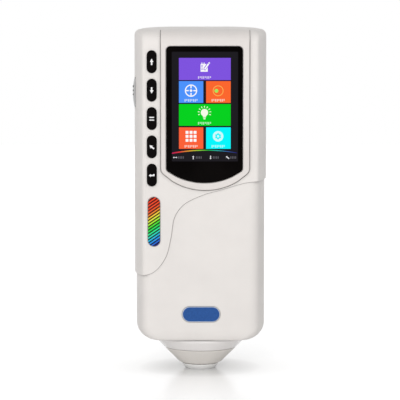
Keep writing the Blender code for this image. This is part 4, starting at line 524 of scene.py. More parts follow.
@dataclass(frozen=True)
class BoardFinish(Finish):
    """Circuit board: solder mask over copper tracks with pads."""

    mask: Colour = (0.012, 0.12, 0.05)
    track: Colour = (0.02, 0.22, 0.09)
    pad: Colour = (0.7, 0.6, 0.35)

    def dress(self, graph: Graph) -> None:
        """Fill the material's nodes.

        Args:
            graph: The material's graph.
        """
        cells = graph.add("TexVoronoi", {"Vector": graph.place(), "Scale": 420.0}, distance="MANHATTAN")
        far = cells.outputs["Distance"]
        tracks = graph.remap(graph.calculate("FRACT", graph.times(far, 6.0)), 0.45, 0.55)
        pads = graph.remap(far, 0.12, 0.09)
        colour = graph.blend(pads, graph.blend(tracks, self.mask, self.track), self.pad)
        graph.surface({"Base Color": colour, "Metallic": graph.times(pads, 0.9),
                       "Roughness": graph.scaled(graph.group(EFFECTS.grain)["Tone"], 0.15, 0.3),
                       "Normal": graph.bump(0.6, 0.00003, tracks)})


def band(*stops: tuple[float, int, int, int]) -> tuple[tuple[float, Colour], ...]:
    """Stops of a colour ramp, each given as its place and its red, green and blue from 0 to 255."""
    return tuple((place, paint(*swatch)) for place, *swatch in stops)


RAINBOW = band(
    (0.00, 44, 50, 180), (0.08, 40, 136, 250), (0.165, 36, 190, 244), (0.206, 36, 212, 216),
    (0.288, 48, 248, 166), (0.37, 34, 238, 88), (0.453, 86, 238, 36), (0.535, 208, 252, 58),
    (0.617, 255, 230, 64), (0.70, 248, 132, 36), (0.78, 250, 78, 28), (1.00, 244, 66, 38))
ARC_RAINBOW = band(
    (0.00, 190, 30, 90), (0.12, 240, 60, 60), (0.27, 240, 170, 50), (0.42, 150, 220, 60),
    (0.56, 20, 190, 60), (0.70, 40, 200, 190), (0.84, 60, 110, 190), (1.00, 40, 20, 130))


class Finishes:
    """Every finish of the instrument."""

    SHELL = MouldedFinish("shell_white", "white_plastic", paint(241, 236, 232), 0.44, worn=0.3)
    BEZEL = MouldedFinish("bezel_cream", "warm_white_plastic", paint(234, 228, 224), 0.34, depth=0.000004, gloss=0.4)
    # collar and tip ring are whiter than the shell: partly their own white, partly painted reflection on the collar
    # and a painted highlight on the tip ring
    COLLAR = MouldedFinish("collar_white_painted_reflection", "white_plastic", paint(255, 251, 249), 0.16, depth=0.000003,
                           coat=0.9)
    CONE = MouldedFinish("cone_white", "warm_white_plastic", paint(243, 238, 232), 0.45, crease_shade=0.1)
    RING = MouldedFinish("ring_white_painted_highlight", "white_plastic", paint(255, 254, 252), 0.2, depth=0.000003, coat=0.6,
                         crease_shade=0.15)
    BUTTON = MouldedFinish("button_grey", "grey_plastic", paint(204, 205, 205), 0.45, dusty=0.05)
    RUBBER = MouldedFinish("key_rubber", "black_rubber", paint(13, 10, 10), 0.5, grain=5200.0,
                           depth=0.000016, worn=0.02, dusty=0.004, gloss=0.03)
    BLACK = MouldedFinish("black_moulding", "black_plastic", paint(30, 30, 31), 0.48, worn=0.15, gloss=0.4)
    MARK = MouldedFinish("white_ink", "white_plastic", paint(250, 250, 250), 0.5, depth=0.000003, dusty=0.0)
    SLEEVE = MouldedFinish("cell_sleeve", "battery_sleeve", paint(46, 84, 150), 0.3, depth=0.000004, tint=0.2)
    PALE_BLUE = MouldedFinish("pale_blue_rim", "blue_badge", paint(222, 234, 250), 0.25, depth=0.000002)
    BLUE = MouldedFinish("badge_blue", "blue_badge", paint(50, 94, 164), 0.3, grain=6000.0, depth=0.000004,
                         tint=0.22, clouds=900.0, gloss=0.12)
    COATING = MouldedFinish("sphere_coating", "sphere_white", paint(242, 242, 240), 0.85, grain=2600.0,
                            depth=0.00003, gloss=0.1, dusty=0.0)
    CLEAR = MouldedFinish("lamp_clear_resin", "lamp_clear", paint(236, 226, 190), 0.12, depth=0.000002, coat=0.4)
    LEAD = MouldedFinish("flat_lead", "ribbon", paint(206, 190, 150), 0.4, tint=0.15)
    STEEL = PlatedFinish("plated_steel", "steel", (0.62, 0.62, 0.63), 0.28)
    BRASS = PlatedFinish("plated_brass", "brass", (0.76, 0.6, 0.28), 0.3, tarnish=(0.35, 0.22, 0.08))
    GLASS = GlassFinish("black_cover_glass", "black_glass", (0.0012, 0.0006, 0.0005))
    LENS = GlassFinish("clear_lens", "lens_glass", (0.85, 0.9, 0.95), 0.02, 0.5, 1.0)
    BOARD = BoardFinish("solder_mask_green", "board_green")
    SPECTRUM = StripedFinish("spectrum_print", "spectrum_badge", RAINBOW)
    ARC = ArcFinish("screen_arc", "screen", ARC_RAINBOW)
    SCREEN = LitFinish("screen_dark", "screen", paint(28, 26, 31))


def lit(name: str, swatch: tuple[int, int, int]) -> LitFinish:
    """A lit screen colour, given from 0 to 255."""
    return LitFinish(name, "screen", paint(*swatch))


# Outlines

def arc_points(centre: Point, radius: float, start: float, end: float, steps: int) -> Outline:
    """Ends of equal chords on an arc, from a start angle to an end angle in degrees."""
    angles = [radians(start + (end - start) * i / steps) for i in range(steps + 1)]
    return [(centre[0] + radius * cos(a), centre[1] + radius * sin(a)) for a in angles]


def circle(radius: float, centre: Point = (0.0, 0.0), sides: int = 60) -> Outline:
    """Closed circle with a number of sides."""
    return arc_points(centre, radius, 0, 360 - 360 / sides, sides - 1)


def quarter(steps: int) -> list[float]:
    """Angles from 0 to a quarter turn."""
    return [pi / 2 * i / steps for i in range(steps + 1)]


def pill(centre: Point, width: float, height: float, steps: int = 20) -> Outline:
    """Outline with straight long sides and half-round ends.

    Args:
        centre: Middle of the outline.
        width: Size across.
        height: Size upwards.
        steps: Chords in each end.

    Returns:
        The closed outline.
    """
    radius = min(width, height) / 2
    across, up = width / 2 - radius, height / 2 - radius
    start = 0 if height >= width else -90
    return arc_points((centre[0] + across, centre[1] + up), radius, start, start + 180, steps) \
        + arc_points((centre[0] - across, centre[1] - up), radius, start + 180, start + 360, steps)


def rounded_rectangle(low: Point, high: Point, radius: float, steps: int = 8) -> Outline:
    """Rectangle outline between two corners, with round corners of a number of chords each."""
    left, right, bottom, top = low[0] + radius, high[0] - radius, low[1] + radius, high[1] - radius
    return [point for i, centre in enumerate(((right, top), (left, top), (left, bottom), (right, bottom)))
            for point in arc_points(centre, radius, 90 * i, 90 * i + 90, steps)]


def fillet(before: Point, corner: Point, after: Point, radius: float, steps: int) -> Outline:
    """Arc that replaces the corner between two straight lines.

    Args:
        before: A point on the first line.
        corner: Where the lines meet.
        after: A point on the second line.
        radius: Radius of the arc.
        steps: Number of chords.

    Returns:
        The arc's points, ends included.
    """
    tip = Vector(corner)
    first = (Vector(before) - tip).normalized()
    second = (Vector(after) - tip).normalized()
    half_angle = first.angle(second) / 2
    reach = radius / tan(half_angle)
    middle = tip + (first + second).normalized() * (radius / sin(half_angle))
    start = tip + first * reach - middle
    sweep = start.angle_signed(tip + second * reach - middle)
    return [tuple(middle + Matrix.Rotation(-sweep * i / steps, 2) @ start) for i in range(steps + 1)]


def smooth_path(knots: Sequence[Point], steps: int) -> list[Vector]:
    """Centripetal Catmull and Rom curve.

    Args:
        knots: Points that the curve passes.
        steps: Chords between two knots.

    Returns:
        The curve's points, ends included.
    """
    points = [Vector(knot) for knot in knots]
    points = [2 * points[0] - points[1]] + points + [2 * points[-1] - points[-2]]
    path = []
    spans = (((0, 1), (1, 2), (2, 3)), ((0, 2), (1, 3)), ((1, 2),))
    for knot in range(len(points) - 3):
        times = [0.0]
        for a, b in zip(points[knot:knot + 3], points[knot + 1:knot + 4]):
            times.append(times[-1] + sqrt((b - a).length))
        for i in range(steps):
            t, row = times[1] + (times[2] - times[1]) * i / steps, points[knot:knot + 4]
            for level in spans:
                shares = [(t - times[start]) / (times[end] - times[start]) for start, end in level]
                row = [a * (1 - share) + b * share for a, b, share in zip(row, row[1:], shares)]
            path.append(row[0])
    return path + [points[-2]]


def offset_path(path: Sequence[Vector], distance: float) -> Outline:
    """Path shifted sideways, to its left."""
    ways = [after - before for before, after in zip([path[0], *path], [*path[1:], path[-1]])]
    return [tuple(point + Vector((-way.y, way.x)).normalized() * distance) for point, way in zip(path, ways)]


def spun(outline: Outline, angle: float, middle: Point) -> Outline:
    """Outline turned about its origin by degrees, and carried to a middle."""
    turn = Matrix.Rotation(radians(angle), 2)
    return [tuple(turn @ Vector(point) + Vector(middle)) for point in outline]


def arrow(length: float, width: float, stem: float, angle: float, middle: Point = (0.0, 0.0),
          head: float | None = None) -> Outline:
    """Arrow turned by degrees, given by its size, its stem's width and its head's length, else half of its width."""
    (tail, tip), neck = (-length / 2, length / 2), length / 2 - (head or width / 2)
    return spun([(tip, 0), (neck, width / 2), (neck, stem / 2), (tail, stem / 2), (tail, -stem / 2),
                 (neck, -stem / 2), (neck, -width / 2)], angle, middle)


def box_outline(width: float, height: float, middle: Point = (0.0, 0.0), radius: float = 0.00006) -> Outline:
    """Small rectangle with softened corners, given by its size and middle."""
    x, z = middle
    return rounded_rectangle((x - width / 2, z - height / 2), (x + width / 2, z + height / 2), radius, 2)


def in_metres(outlines: Iterable[Outline], place: Point = (0.0, 0.0)) -> list[Outline]:
    """Outlines given in millimetres, carried to a place in metres."""
    return [[(place[0] + x * MM, place[1] + z * MM) for x, z in outline] for outline in outlines]


# Meshes

def placed(name: str, data: bpy.types.ID) -> Item:
    """New object for a mesh, curve, lamp or camera, linked to the scene."""
    item = bpy.data.objects.new(name, data)
    bpy.context.scene.collection.objects.link(item)
    return item


def dropped(*items: Item) -> None:
    """Remove objects that are used up."""
    for item in items:
        bpy.data.objects.remove(item, do_unlink=True)


def evaluated(item: Item) -> Item:
    """The object as its modifiers leave it."""
    bpy.context.view_layer.update()
    return item.evaluated_get(bpy.context.evaluated_depsgraph_get())


def finished(bm: bmesh.types.BMesh) -> Item:
    """Turn a bmesh into a smooth-shaded object with clean normals.

    Args:
        bm: The mesh; it is freed.

    Returns:
        The object, linked to the scene.
    """
    bmesh.ops.recalc_face_normals(bm, faces=bm.faces)
    mesh = bpy.data.meshes.new("shape")
    bm.to_mesh(mesh)
    bm.free()
    mesh.shade_smooth()
    mesh.set_sharp_from_angle(angle=SMOOTH_ANGLE)
    return placed("shape", mesh)


def worked(item: Item) -> bmesh.types.BMesh:
    """The piece's mesh with its modifiers worked in; the object goes.

    Args:
        item: Object that is used up.

    Returns:
        Its final mesh in world space.
    """
    mesh = bpy.data.meshes.new_from_object(evaluated(item))
    mesh.transform(item.matrix_world)
    bm = bmesh.new()
    bm.from_mesh(mesh)
    bmesh.ops.remove_doubles(bm, verts=bm.verts, dist=WELD)
    dropped(item)
    bpy.data.meshes.remove(mesh)
    return bm


def combine(item: Item, how: Join, *operands: Item) -> Item:
    """Cut, add or keep solid shapes, and use them up.

    Args:
        item: The piece that is worked on.
        how: Way to combine.
        operands: Shapes that are combined with it, one after the other.

    Returns:
        The new piece.
    """
    for operand in operands:
        step = item.modifiers.new("step", "BOOLEAN")
        step.operation, step.solver, step.object = how.value, "EXACT", operand
    bm = worked(item)
    dropped(*operands)
    return finished(bm)


def soften(item: Item, width: float, chosen: Callable[[Vector], bool] | None = None, segments: int = 2,
           angle: float = 40.0) -> Item:
    """Round sharp edges of a piece.

    Args:
        item: The piece.
        width: Width of the rounding.
        chosen: Test of an edge's middle, or None for every edge.
        segments: Faces across the rounding.
        angle: Edges sharper than this are rounded, in degrees.

    Returns:
        The new piece.
    """
    bm = worked(item)
    edges = [edge for edge in bm.edges
             if len(edge.link_faces) == 2 and edge.calc_face_angle(0) > radians(angle)
             and (chosen is None or chosen((edge.verts[0].co + edge.verts[1].co) / 2))]
    bmesh.ops.bevel(bm, geom=edges, offset=width, segments=segments, profile=0.5,
                    affect="EDGES", clamp_overlap=chosen is None, loop_slide=True)
    return finished(bm)


def loft(loops: Sequence[Sequence[Place]]) -> Item:
    """Skin closed loops that have the same number of points, and cap both ends.

    Args:
        loops: The loops in order.

    Returns:
        The closed piece.
    """
    bm = bmesh.new()
    rings = [[bm.verts.new(point) for point in loop] for loop in loops]
    for lower, upper in zip(rings, rings[1:]):
        for i in range(len(lower)):
            after = (i + 1) % len(lower)
            bm.faces.new((lower[i], lower[after], upper[after], upper[i]))
    bm.faces.new(reversed(rings[0]))
    bm.faces.new(rings[-1])
    return finished(bm)


def stepped(outline: Callable[[float], Outline], levels: Sequence[Point]) -> Item:
    """Piece from level to level of depth y and inset, with an (x, z) outline for each inset."""
    return loft([[(x, y, z) for x, z in outline(inset)] for y, inset in levels])


def rounded_levels(back: float, front: float, radius: float, steps: int = 5) -> list[Point]:
    """Levels of a plate from its back to a front with rounded edges."""
    return [(back, 0.0)] + [(front + radius * (1 - sin(a)), radius * (1 - cos(a))) for a in quarter(steps)]


def block(low: Place, high: Place) -> Item:
    """Rectangular block between two corners."""
    corners = [(low[0], low[1]), (high[0], low[1]), (high[0], high[1]), (low[0], high[1])]
    return loft([[(x, y, z) for x, y in corners] for z in (low[2], high[2])])


def prism(outlines: Sequence[Outline], axis: Axis, low: float, high: float) -> Item:
    """Draw flat outlines out along an axis; an outline inside another is a hole.

    Args:
        outlines: Closed outlines.
        axis: Direction of the draw.
        low: Where it starts.
        high: Where it ends.

    Returns:
        The piece.
    """
    curve = bpy.data.curves.new("shape", "CURVE")
    curve.dimensions, curve.fill_mode, curve.extrude = "2D", "BOTH", (high - low) / 2
    for outline in outlines:
        spline = curve.splines.new("POLY")
        spline.points.add(len(outline) - 1)
        for point, (across, up) in zip(spline.points, outline):
            point.co = (across, up, 0, 1)
        spline.use_cyclic_u = True
    item = placed("shape", curve)
    offset = Vector()
    offset[axis.value] = (low + high) / 2
    item.matrix_world = Matrix.Translation(offset) @ axis.sheet()
    return finished(worked(item))


def turned(profile: Outline, steps: int = 128) -> Item:
    """Turn a closed (radius, z) profile about the Z axis.

    Args:
        profile: The profile's points.
        steps: Number of flats round the piece.

    Returns:
        The piece.
    """
    mesh = bpy.data.meshes.new("shape")
    count = len(profile)
    mesh.from_pydata([(radius, 0, z) for radius, z in profile], [(i, (i + 1) % count) for i in range(count)], [])
    item = placed("shape", mesh)
    screw = item.modifiers.new("turn", "SCREW")
    screw.angle, screw.steps, screw.render_steps = 2 * pi, steps, steps
    screw.use_merge_vertices, screw.merge_threshold = True, WELD
    return finished(worked(item))


def rods(centres: Sequence[Place], radius: float, axis: Axis, low: float, high: float, sides: int = 40) -> Item:
    """Equal round rods along one axis, as one object.

    Args:
        centres: A point on each rod's axis.
        radius: Radius of the rods.
        axis: Direction of the rods.
        low: Where they start.
        high: Where they end.
        sides: Number of flats round each rod.

    Returns:
        The object.
    """
    bm = bmesh.new()
    for centre in centres:
        middle = Vector(centre)
        middle[axis.value] = (low + high) / 2
        bmesh.ops.create_cone(bm, cap_ends=True, segments=sides, radius1=radius, radius2=radius,
                              depth=high - low, matrix=Matrix.Translation(middle) @ axis.turn())
    return finished(bm)


def copies(item: Item, places: Sequence[Matrix]) -> list[Item]:
    """Separate pieces with one shape in several places; the pattern goes.

    Args:
        item: The pattern.
        places: Where each piece goes.

    Returns:
        The pieces.
    """
    pieces = [placed("shape", item.data.copy()) for _ in places]
    for piece, place in zip(pieces, places):
        piece.data.transform(place)
    dropped(item)
    return pieces


def dress(name: str, piece: Item, finish: Finish, *nodes: str, body: str = "housing") -> Item:
    """Give a piece its name, finish, body and the nodes that it stands for.

    Args:
        name: Name of the piece.
        piece: The piece.
        finish: Its finish.
        nodes: CAD nodes that it stands for.
        body: Body that it rides on.

    Returns:
        The piece.
    """
    piece.name = piece.data.name = name
    piece.data.materials.clear()
    piece.data.materials.append(finish.material())
    flat_faces_lead(piece)
    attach(piece, body)
    if nodes:
        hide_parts(*nodes)
    LOG.info("%s rides on %s%s", piece.name, body, " for " + ", ".join(nodes) if nodes else "")
    return piece


def flat_faces_lead(item: Item) -> list[Vector]:
    """Let the large faces set the shading of a piece, and give the normals of its corners."""
    item.modifiers.new("flat_faces_lead", "WEIGHTED_NORMAL").keep_sharp = True
    return [Vector(corner.vector) for corner in evaluated(item).data.corner_normals]


def follow_form(piece: Item, form: "Form") -> Item:
    """Shade the outer skin of a cut piece as its uncut form is shaded.

    Args:
        piece: The dressed piece.
        form: Form that its skin follows.

    Returns:
        The piece.
    """
    guide = form.solid()
    ideal = flat_faces_lead(guide)
    points = [vertex.co.copy() for vertex in guide.data.vertices]
    sides = [(tuple(polygon.vertices), tuple(polygon.loop_indices)) for polygon in guide.data.polygons]
    skin = BVHTree.FromPolygons(points, [side for side, _ in sides])
    vertices = piece.data.vertices
    for polygon in piece.data.polygons:
        for i in polygon.vertices if polygon.area > LARGE_FACE else ():
            spot, _, _, distance = skin.find_nearest(vertices[i].co)
            if distance < SLIP:
                vertices[i].co = spot
    piece.modifiers.clear()
    corners = flat_faces_lead(piece)
    for corner in piece.data.loops:
        spot, _, face, distance = skin.find_nearest(vertices[corner.vertex_index].co)
        if distance < WELD:
            side, ends = sides[face]
            shares = poly_3d_calc([points[i] for i in side], spot)
            normal = sum((ideal[end] * share for end, share in zip(ends, shares)), Vector()).normalized()
            if normal.dot(corners[corner.index]) > SKIN_TURN:
                corners[corner.index] = normal
    piece.modifiers.clear()
    piece.data.normals_split_custom_set(corners)
    dropped(guide)
    return piece


def refinish(finish: Finish, *nodes: str) -> None:
    """Give CAD nodes that keep their shape a finish.

    Args:
        finish: The finish.
        nodes: Names of the nodes.
    """
    for node in nodes:
        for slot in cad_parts[node].material_slots:
            slot.material = finish.material()
        LOG.info("%s keeps its solid, in %s", node, finish.name)


# Outer forms of the housing

@dataclass(frozen=True)
class Form:
    """What the forms of the housing share: one face, a parting and rounded ends."""

    face_y: float = -0.0322
    parting_y: float = -0.004
    low_z: float = 0.052
    high_z: float = 0.2046
    low_across: float = 0.0
    low_deep: float = 0.0
    high_round: float = 0.0070
    high_deep: float = 0.0100
    high_across: float = 0.0038
    high_corner: float = 0.0036
    least: float = 0.0004
    round_steps: int = 14
    sides: ClassVar[tuple[str, ...]] = ()
    rounds: ClassVar[tuple[str, ...]] = (
        "corner", "low_across", "low_deep", "high_round", "high_deep", "high_across", "high_corner")

    def inset(self, wall: float) -> "Form":
        """The same form, smaller by a wall all round.

        Args:
            wall: Thickness of the wall.

        Returns:
            The smaller form.
        """
        sizes = {name: getattr(self, name) - wall for name in self.sides}
        sizes |= {name: max(getattr(self, name) - wall, self.least)
                  for name in self.rounds if getattr(self, name, 0.0)}
        return replace(self, face_y=self.face_y - copysign(1.0, self.face_y) * wall, low_z=self.low_z + wall,
                       high_z=self.high_z - wall, **sizes)

    def plan(self, across: float, deep: float, closing_y: float) -> Outline:
        """Outline at a height where sides and face are drawn in, closed at a depth."""
        raise NotImplementedError

    def side_x(self, y: float) -> float:
        """How far out the side reaches at a depth."""
        raise NotImplementedError

    def levels(self) -> list[Place]:
        """Heights of the sections.

        Returns:
            For each height, z and how far the section is drawn in across and in depth.
        """
        levels: list[Place] = []
        for angle in reversed(quarter(self.round_steps)[1:] if self.low_across else []):
            levels.append((self.low_z + self.low_across * (1 - sin(angle)),
                           self.low_across * (1 - cos(angle)), self.low_deep * (1 - cos(angle))))
        levels += [(self.low_z + self.low_across, 0.0, 0.0), (self.high_z - self.high_round, 0.0, 0.0)]
        for angle in quarter(self.round_steps)[1:] if self.high_round else []:
            drop = self.high_round * (1 - sin(angle))
            share = max(1 - drop / self.high_corner, 0.0)
            levels.append((self.high_z - drop, self.high_across * (1 - sqrt(1 - share * share)),
                           self.high_deep * (1 - cos(angle))))
        return levels

    def solid(self, closing_y: float | None = None) -> Item:
        """The form as a closed solid, up to a depth past the parting if one is given."""
        close = self.parting_y if closing_y is None else closing_y
        return loft([[(x, y, z) for x, y in self.plan(across, deep, close)] for z, across, deep in self.levels()])

    def on_skin(self, point: Vector, depth: float = 0.0004) -> bool:
        """Whether a point lies in the outermost layer of the form."""
        return (abs(point.y) > abs(self.face_y) - depth or point.z > self.high_z - depth
                or abs(point.x) > self.side_x(point.y) - depth)

    def cutter(self, outlines: Sequence[Outline], depth: float) -> Item:
        """Outlines drawn out from before the face to a depth behind it."""
        way = copysign(1.0, self.face_y)
        return prism(outlines, Axis.Y, *sorted((self.face_y + way * OVERRUN, self.face_y - way * depth)))


@dataclass(frozen=True)
class FrontForm(Form):
    """Form of a front shell: flat front, slanting sides and rounded ends."""

    front_half: float = 0.0339
    widest_half: float = 0.03927
    turn_y: float = -0.02
    corner: float = 0.0024
    corner_steps: int = 10
    side_steps: int = 18
    sides: ClassVar[tuple[str, ...]] = ("front_half", "widest_half")

    def plan(self, across: float, deep: float, closing_y: float) -> Outline:
        """Outline at one height.

        Args:
            across: How far the sides are drawn in there.
            deep: How far the front is drawn in there.
            closing_y: Depth at which the outline closes.

        Returns:
            The (x, y) outline.
        """
        half, front, widest = self.front_half - across, self.face_y + deep, self.widest_half - across
        bend = Vector((widest, self.turn_y))
        right = fillet((0, front), (half, front), tuple(bend), self.corner, self.corner_steps)
        start, end = Vector(right[-1]), Vector((widest, self.parting_y))
        for i in range(1, self.side_steps + 1):
            t = i / self.side_steps
            right.append(tuple(start * (1 - t) ** 2 + bend * 2 * t * (1 - t) + end * t * t))
        right += [(widest, closing_y)] if closing_y != self.parting_y else []
        return right + [(-x, y) for x, y in reversed(right)]

    def side_x(self, y: float) -> float:
        """How far out the side reaches at a depth.

        Args:
            y: The depth.

        Returns:
            Half of the width there.
        """
        low, high, t = 0.0, 1.0, 0.5
        for _ in range(24):
            t = (low + high) / 2
            at = self.face_y * (1 - t) ** 2 + self.turn_y * 2 * t * (1 - t) + self.parting_y * t * t
            low, high = (t, high) if at < y else (low, t)
        return self.front_half * (1 - t) ** 2 + self.widest_half * (1 - (1 - t) ** 2)


@dataclass(frozen=True)
class BackForm(Form):
    """Form of the back cover: flat back, wide elliptical sides and rounded ends."""

    half: float = 0.03827
    flat_half: float = 0.014
    side_steps: int = 40
    sides: ClassVar[tuple[str, ...]] = ("half",)

    def side_x(self, y: float) -> float:
        """How far out the side reaches at a depth."""
        rise = (y - self.parting_y) / (self.face_y - self.parting_y)
        return self.flat_half + (self.half - self.flat_half) * sqrt(max(1 - rise * rise, 0.0))

    def plan(self, across: float, deep: float, closing_y: float) -> Outline:
        """Outline at one height.

        Args:
            across: How far the sides are drawn in there.
            deep: How far the back is drawn in there.
            closing_y: Depth at which the outline closes.

        Returns:
            The (x, y) outline.
        """
        half, back = self.half - across, self.face_y - deep
        right = [(half, closing_y)] if closing_y != self.parting_y else []
        right += [(self.flat_half + (half - self.flat_half) * cos(angle),
                   self.parting_y + (back - self.parting_y) * sin(angle)) for angle in quarter(self.side_steps)]
        return right + [(-x, y) for x, y in reversed(right)]


UPPER = FrontForm()
LOWER = FrontForm(front_half=0.0329, widest_half=0.03827, face_y=-0.0318, corner=0.0062,
                  low_z=0.0206, high_z=0.124, low_across=0.0087, low_deep=0.003, high_round=0.0)
BACK = BackForm(face_y=0.0335, parting_y=-0.0037, low_z=0.0206, low_across=0.0087, low_deep=0.003, high_deep=0.0052)


@dataclass(frozen=True)
class Seam:
    """Curved seam between the two front shells."""

    left_z: float = 0.060
    right_z: float = 0.116
    reach: float = 0.03927
    steps: int = 10
    depth: float = OVERRUN - UPPER.face_y - UPPER.parting_y
    shares: tuple[Point, ...] = (
        (-1.30, 0.000), (-0.86, 0.000), (-0.69, 0.040), (-0.52, 0.195), (-0.44, 0.410),
        (-0.39, 0.612), (-0.26, 0.745), (0.04, 0.853), (0.30, 0.905), (0.50, 0.948),
        (0.68, 0.981), (0.88, 0.997), (1.30, 1.000))

    def path(self) -> list[Vector]:
        """The seam as (x, z) points from left to right."""
        rise = self.right_z - self.left_z
        return smooth_path([(x * self.reach, self.left_z + up * rise) for x, up in self.shares], self.steps)

    def side(self, shift: float, closing_z: float) -> Item:
        """Block of everything from a line beside the seam to a height on its other side.

        Args:
            shift: How far its edge stands off the seam.
            closing_z: Height on the other side.

        Returns:
            The block.
        """
        outline = offset_path(self.path(), shift)
        outline += [(outline[-1][0], closing_z), (outline[0][0], closing_z)]
        return UPPER.cutter([outline], self.depth)

    def band(self, above: float, below: float) -> Item:
        """Strip along the seam, from below to above it."""
        outline = offset_path(self.path(), above) + offset_path(self.path(), -below)[::-1]
        return UPPER.cutter([outline], self.depth)


def shield(centre_x: float, half_width: float, top_z: float, low_z: float, arc: float,
           top_corner: float, low_corner: float) -> Outline:
    """Outline of the display: straight sides, round corners and a bowed lower edge.

    Args:
        centre_x: Middle of the display.
        half_width: Half of its width.
        top_z: Its upper edge.
        low_z: Lowest point of its lower edge.
        arc: Radius of the lower edge.
        top_corner: Radius of the upper corners, 0 for square ones.
        low_corner: Radius of the lower corners.

    Returns:
        The closed outline.
    """
    bow_steps, corner_steps, bowed = 36, 10, 0.7
    rise = arc - sqrt(arc * arc - half_width * half_width)
    inner = degrees(atan2(half_width, arc - rise)) * bowed
    bow = arc_points((0, low_z + arc), arc, -90 - inner, -90 + inner, bow_steps)
    right, left = (half_width, top_z), (-half_width, top_z)
    outline = bow + fillet(bow[-1], (half_width, low_z + rise), right, low_corner, corner_steps)
    if top_corner > 0:
        outline += fillet((half_width, low_z), right, (0, top_z), top_corner, corner_steps)
        outline += fillet((0, top_z), left, (-half_width, low_z), top_corner, corner_steps)
    else:
        outline += [right, left]
    outline += fillet(left, (-half_width, low_z + rise), bow[0], low_corner, corner_steps)
    return [(centre_x + x, z) for x, z in outline]


@dataclass(frozen=True)
class Fastening:
    """Places of the housing screws and the sizes of their holes."""

    upper: tuple[Point, ...] = ((-0.024, 0.1986), (0.024, 0.1986), (-0.0295, 0.076))
    lower: tuple[Point, ...] = ((0.0295, 0.098), (-0.0275, 0.039), (0.0275, 0.039))
    seat_y: float = 0.006
    head_radius: float = 0.0023
    head: float = 0.0018
    radius: float = 0.0013
    length: float = 0.0165
    post_radius: float = 0.004
    recess_width: float = 0.0006
    recess_half: float = 0.0015
    recess_depth: float = 0.0009
    pitch: float = 0.0009
    thread: float = 0.78

    def centres(self) -> list[Place]:
        """Middle of every screw, with no depth."""
        return [(x, 0.0, z) for x, z in self.upper + self.lower]

    def profile(self) -> Outline:
        """Profile of a screw.

        Returns:
            The (radius, z) points from the top of the head to the tip.
        """
        crown = self.head * 0.5
        profile = [(0.0, self.head)] + [(self.head_radius - crown + crown * cos(a), self.head - crown + crown * sin(a))
                                        for a in reversed(quarter(6))]
        profile += [(self.head_radius, 0.0), (self.radius, 0.0)]
        for i in range(int((self.length - 0.002) / self.pitch)):
            z, core = -0.0006 - i * self.pitch, self.radius * self.thread
            profile += [(self.radius, z), (core, z - self.pitch * 0.35), (core, z - self.pitch * 0.5)]
        return profile + [(self.radius * 0.7, -self.length + 0.001), (0.0, -self.length)]

    def build(self) -> None:
        """Make the six screws with their cross recesses."""
        low, high = self.head - self.recess_depth, self.head + OVERRUN
        wide, half = self.recess_width / 2, self.recess_half
        screw = combine(turned(self.profile(), 40), Join.CUT,
                        block((-half, -wide, low), (half, wide, high)),
                        block((-wide, -half, low), (wide, half, high)))
        places = [Matrix.Translation((x, self.seat_y + GAP, z)) @ Axis.Y.turn()
                  @ Matrix.Rotation(radians(20 + 37 * i), 4, "Z") for i, (x, _, z) in enumerate(self.centres())]
        for i, piece in enumerate(copies(screw, places), 1):
            dress(f"screw_{i}", piece, Finishes.STEEL, f"housing_screw_{i}")


FASTENING = Fastening()


@dataclass(frozen=True)
class Display:
    """Raised frame, cover glass and lit screen."""

    centre_x: float = 0.0028
    half_width: float = 0.0261
    top_z: float = 0.209
    low_z: float = 0.1107
    arc: float = 0.037
    corner: float = 0.0046
    proud: float = 0.0012
    rise: float = 0.0004
    seat: float = 0.0012
    groove: float = 0.00034
    reach: float = 0.012
    edge: float = 0.0007
    glass_x: float = 0.0024
    glass_half: float = 0.0224
    glass_top: float = 0.19535
    glass_low: float = 0.1152
    glass_arc: float = 0.0384
    glass_corner: float = 0.0024
    glass_front: float = -0.0327
    glass_back: float = -0.0313
    glass_round: float = 0.00025
    view: tuple[Point, Point] = ((-0.0175, 0.12735), (0.0221, 0.19285))

    def frame_outline(self, spare: float = 0.0) -> Outline:
        """Outline of the raised frame, grown by a spare."""
        return shield(self.centre_x, self.half_width + spare, self.top_z, self.low_z - spare,
                      self.arc + spare, 0.0, self.corner + spare)

    def glass_outline(self, inset: float = 0.0) -> Outline:
        """Outline of the glass, drawn in by an inset."""
        corner = self.glass_corner - inset
        return shield(self.glass_x, self.glass_half - inset, self.glass_top - inset, self.glass_low + inset,
                      self.glass_arc - inset, corner, corner)

    def build(self) -> None:
        """Make the frame, the glass and the screen."""
        self.build_frame()
        levels = rounded_levels(self.glass_back, self.glass_front, self.glass_round)
        dress("cover_glass", stepped(self.glass_outline, levels), Finishes.GLASS, "screen_window")
        Screen(self.glass_front).build()

    def build_frame(self) -> None:
        """Make the frame that runs over the top edge of the housing."""
        outer = replace(UPPER.inset(-self.proud), high_z=UPPER.high_z + self.rise, low_z=UPPER.low_z)
        inner = UPPER.inset(self.seat - GAP)
        inner = replace(inner, low_z=inner.low_z - OVERRUN).solid(UPPER.parting_y + OVERRUN)
        rim = combine(outer.solid(), Join.CUT, inner)
        rim = combine(rim, Join.KEEP, UPPER.cutter([self.frame_outline()], self.reach))
        rim = combine(rim, Join.CUT, UPPER.cutter([self.glass_outline(-GAP)], OVERRUN))
        rim = soften(rim, self.edge, lambda point: outer.on_skin(point, 0.0002), 4)
        dress("screen_frame", rim, Finishes.BEZEL, "display_bezel")


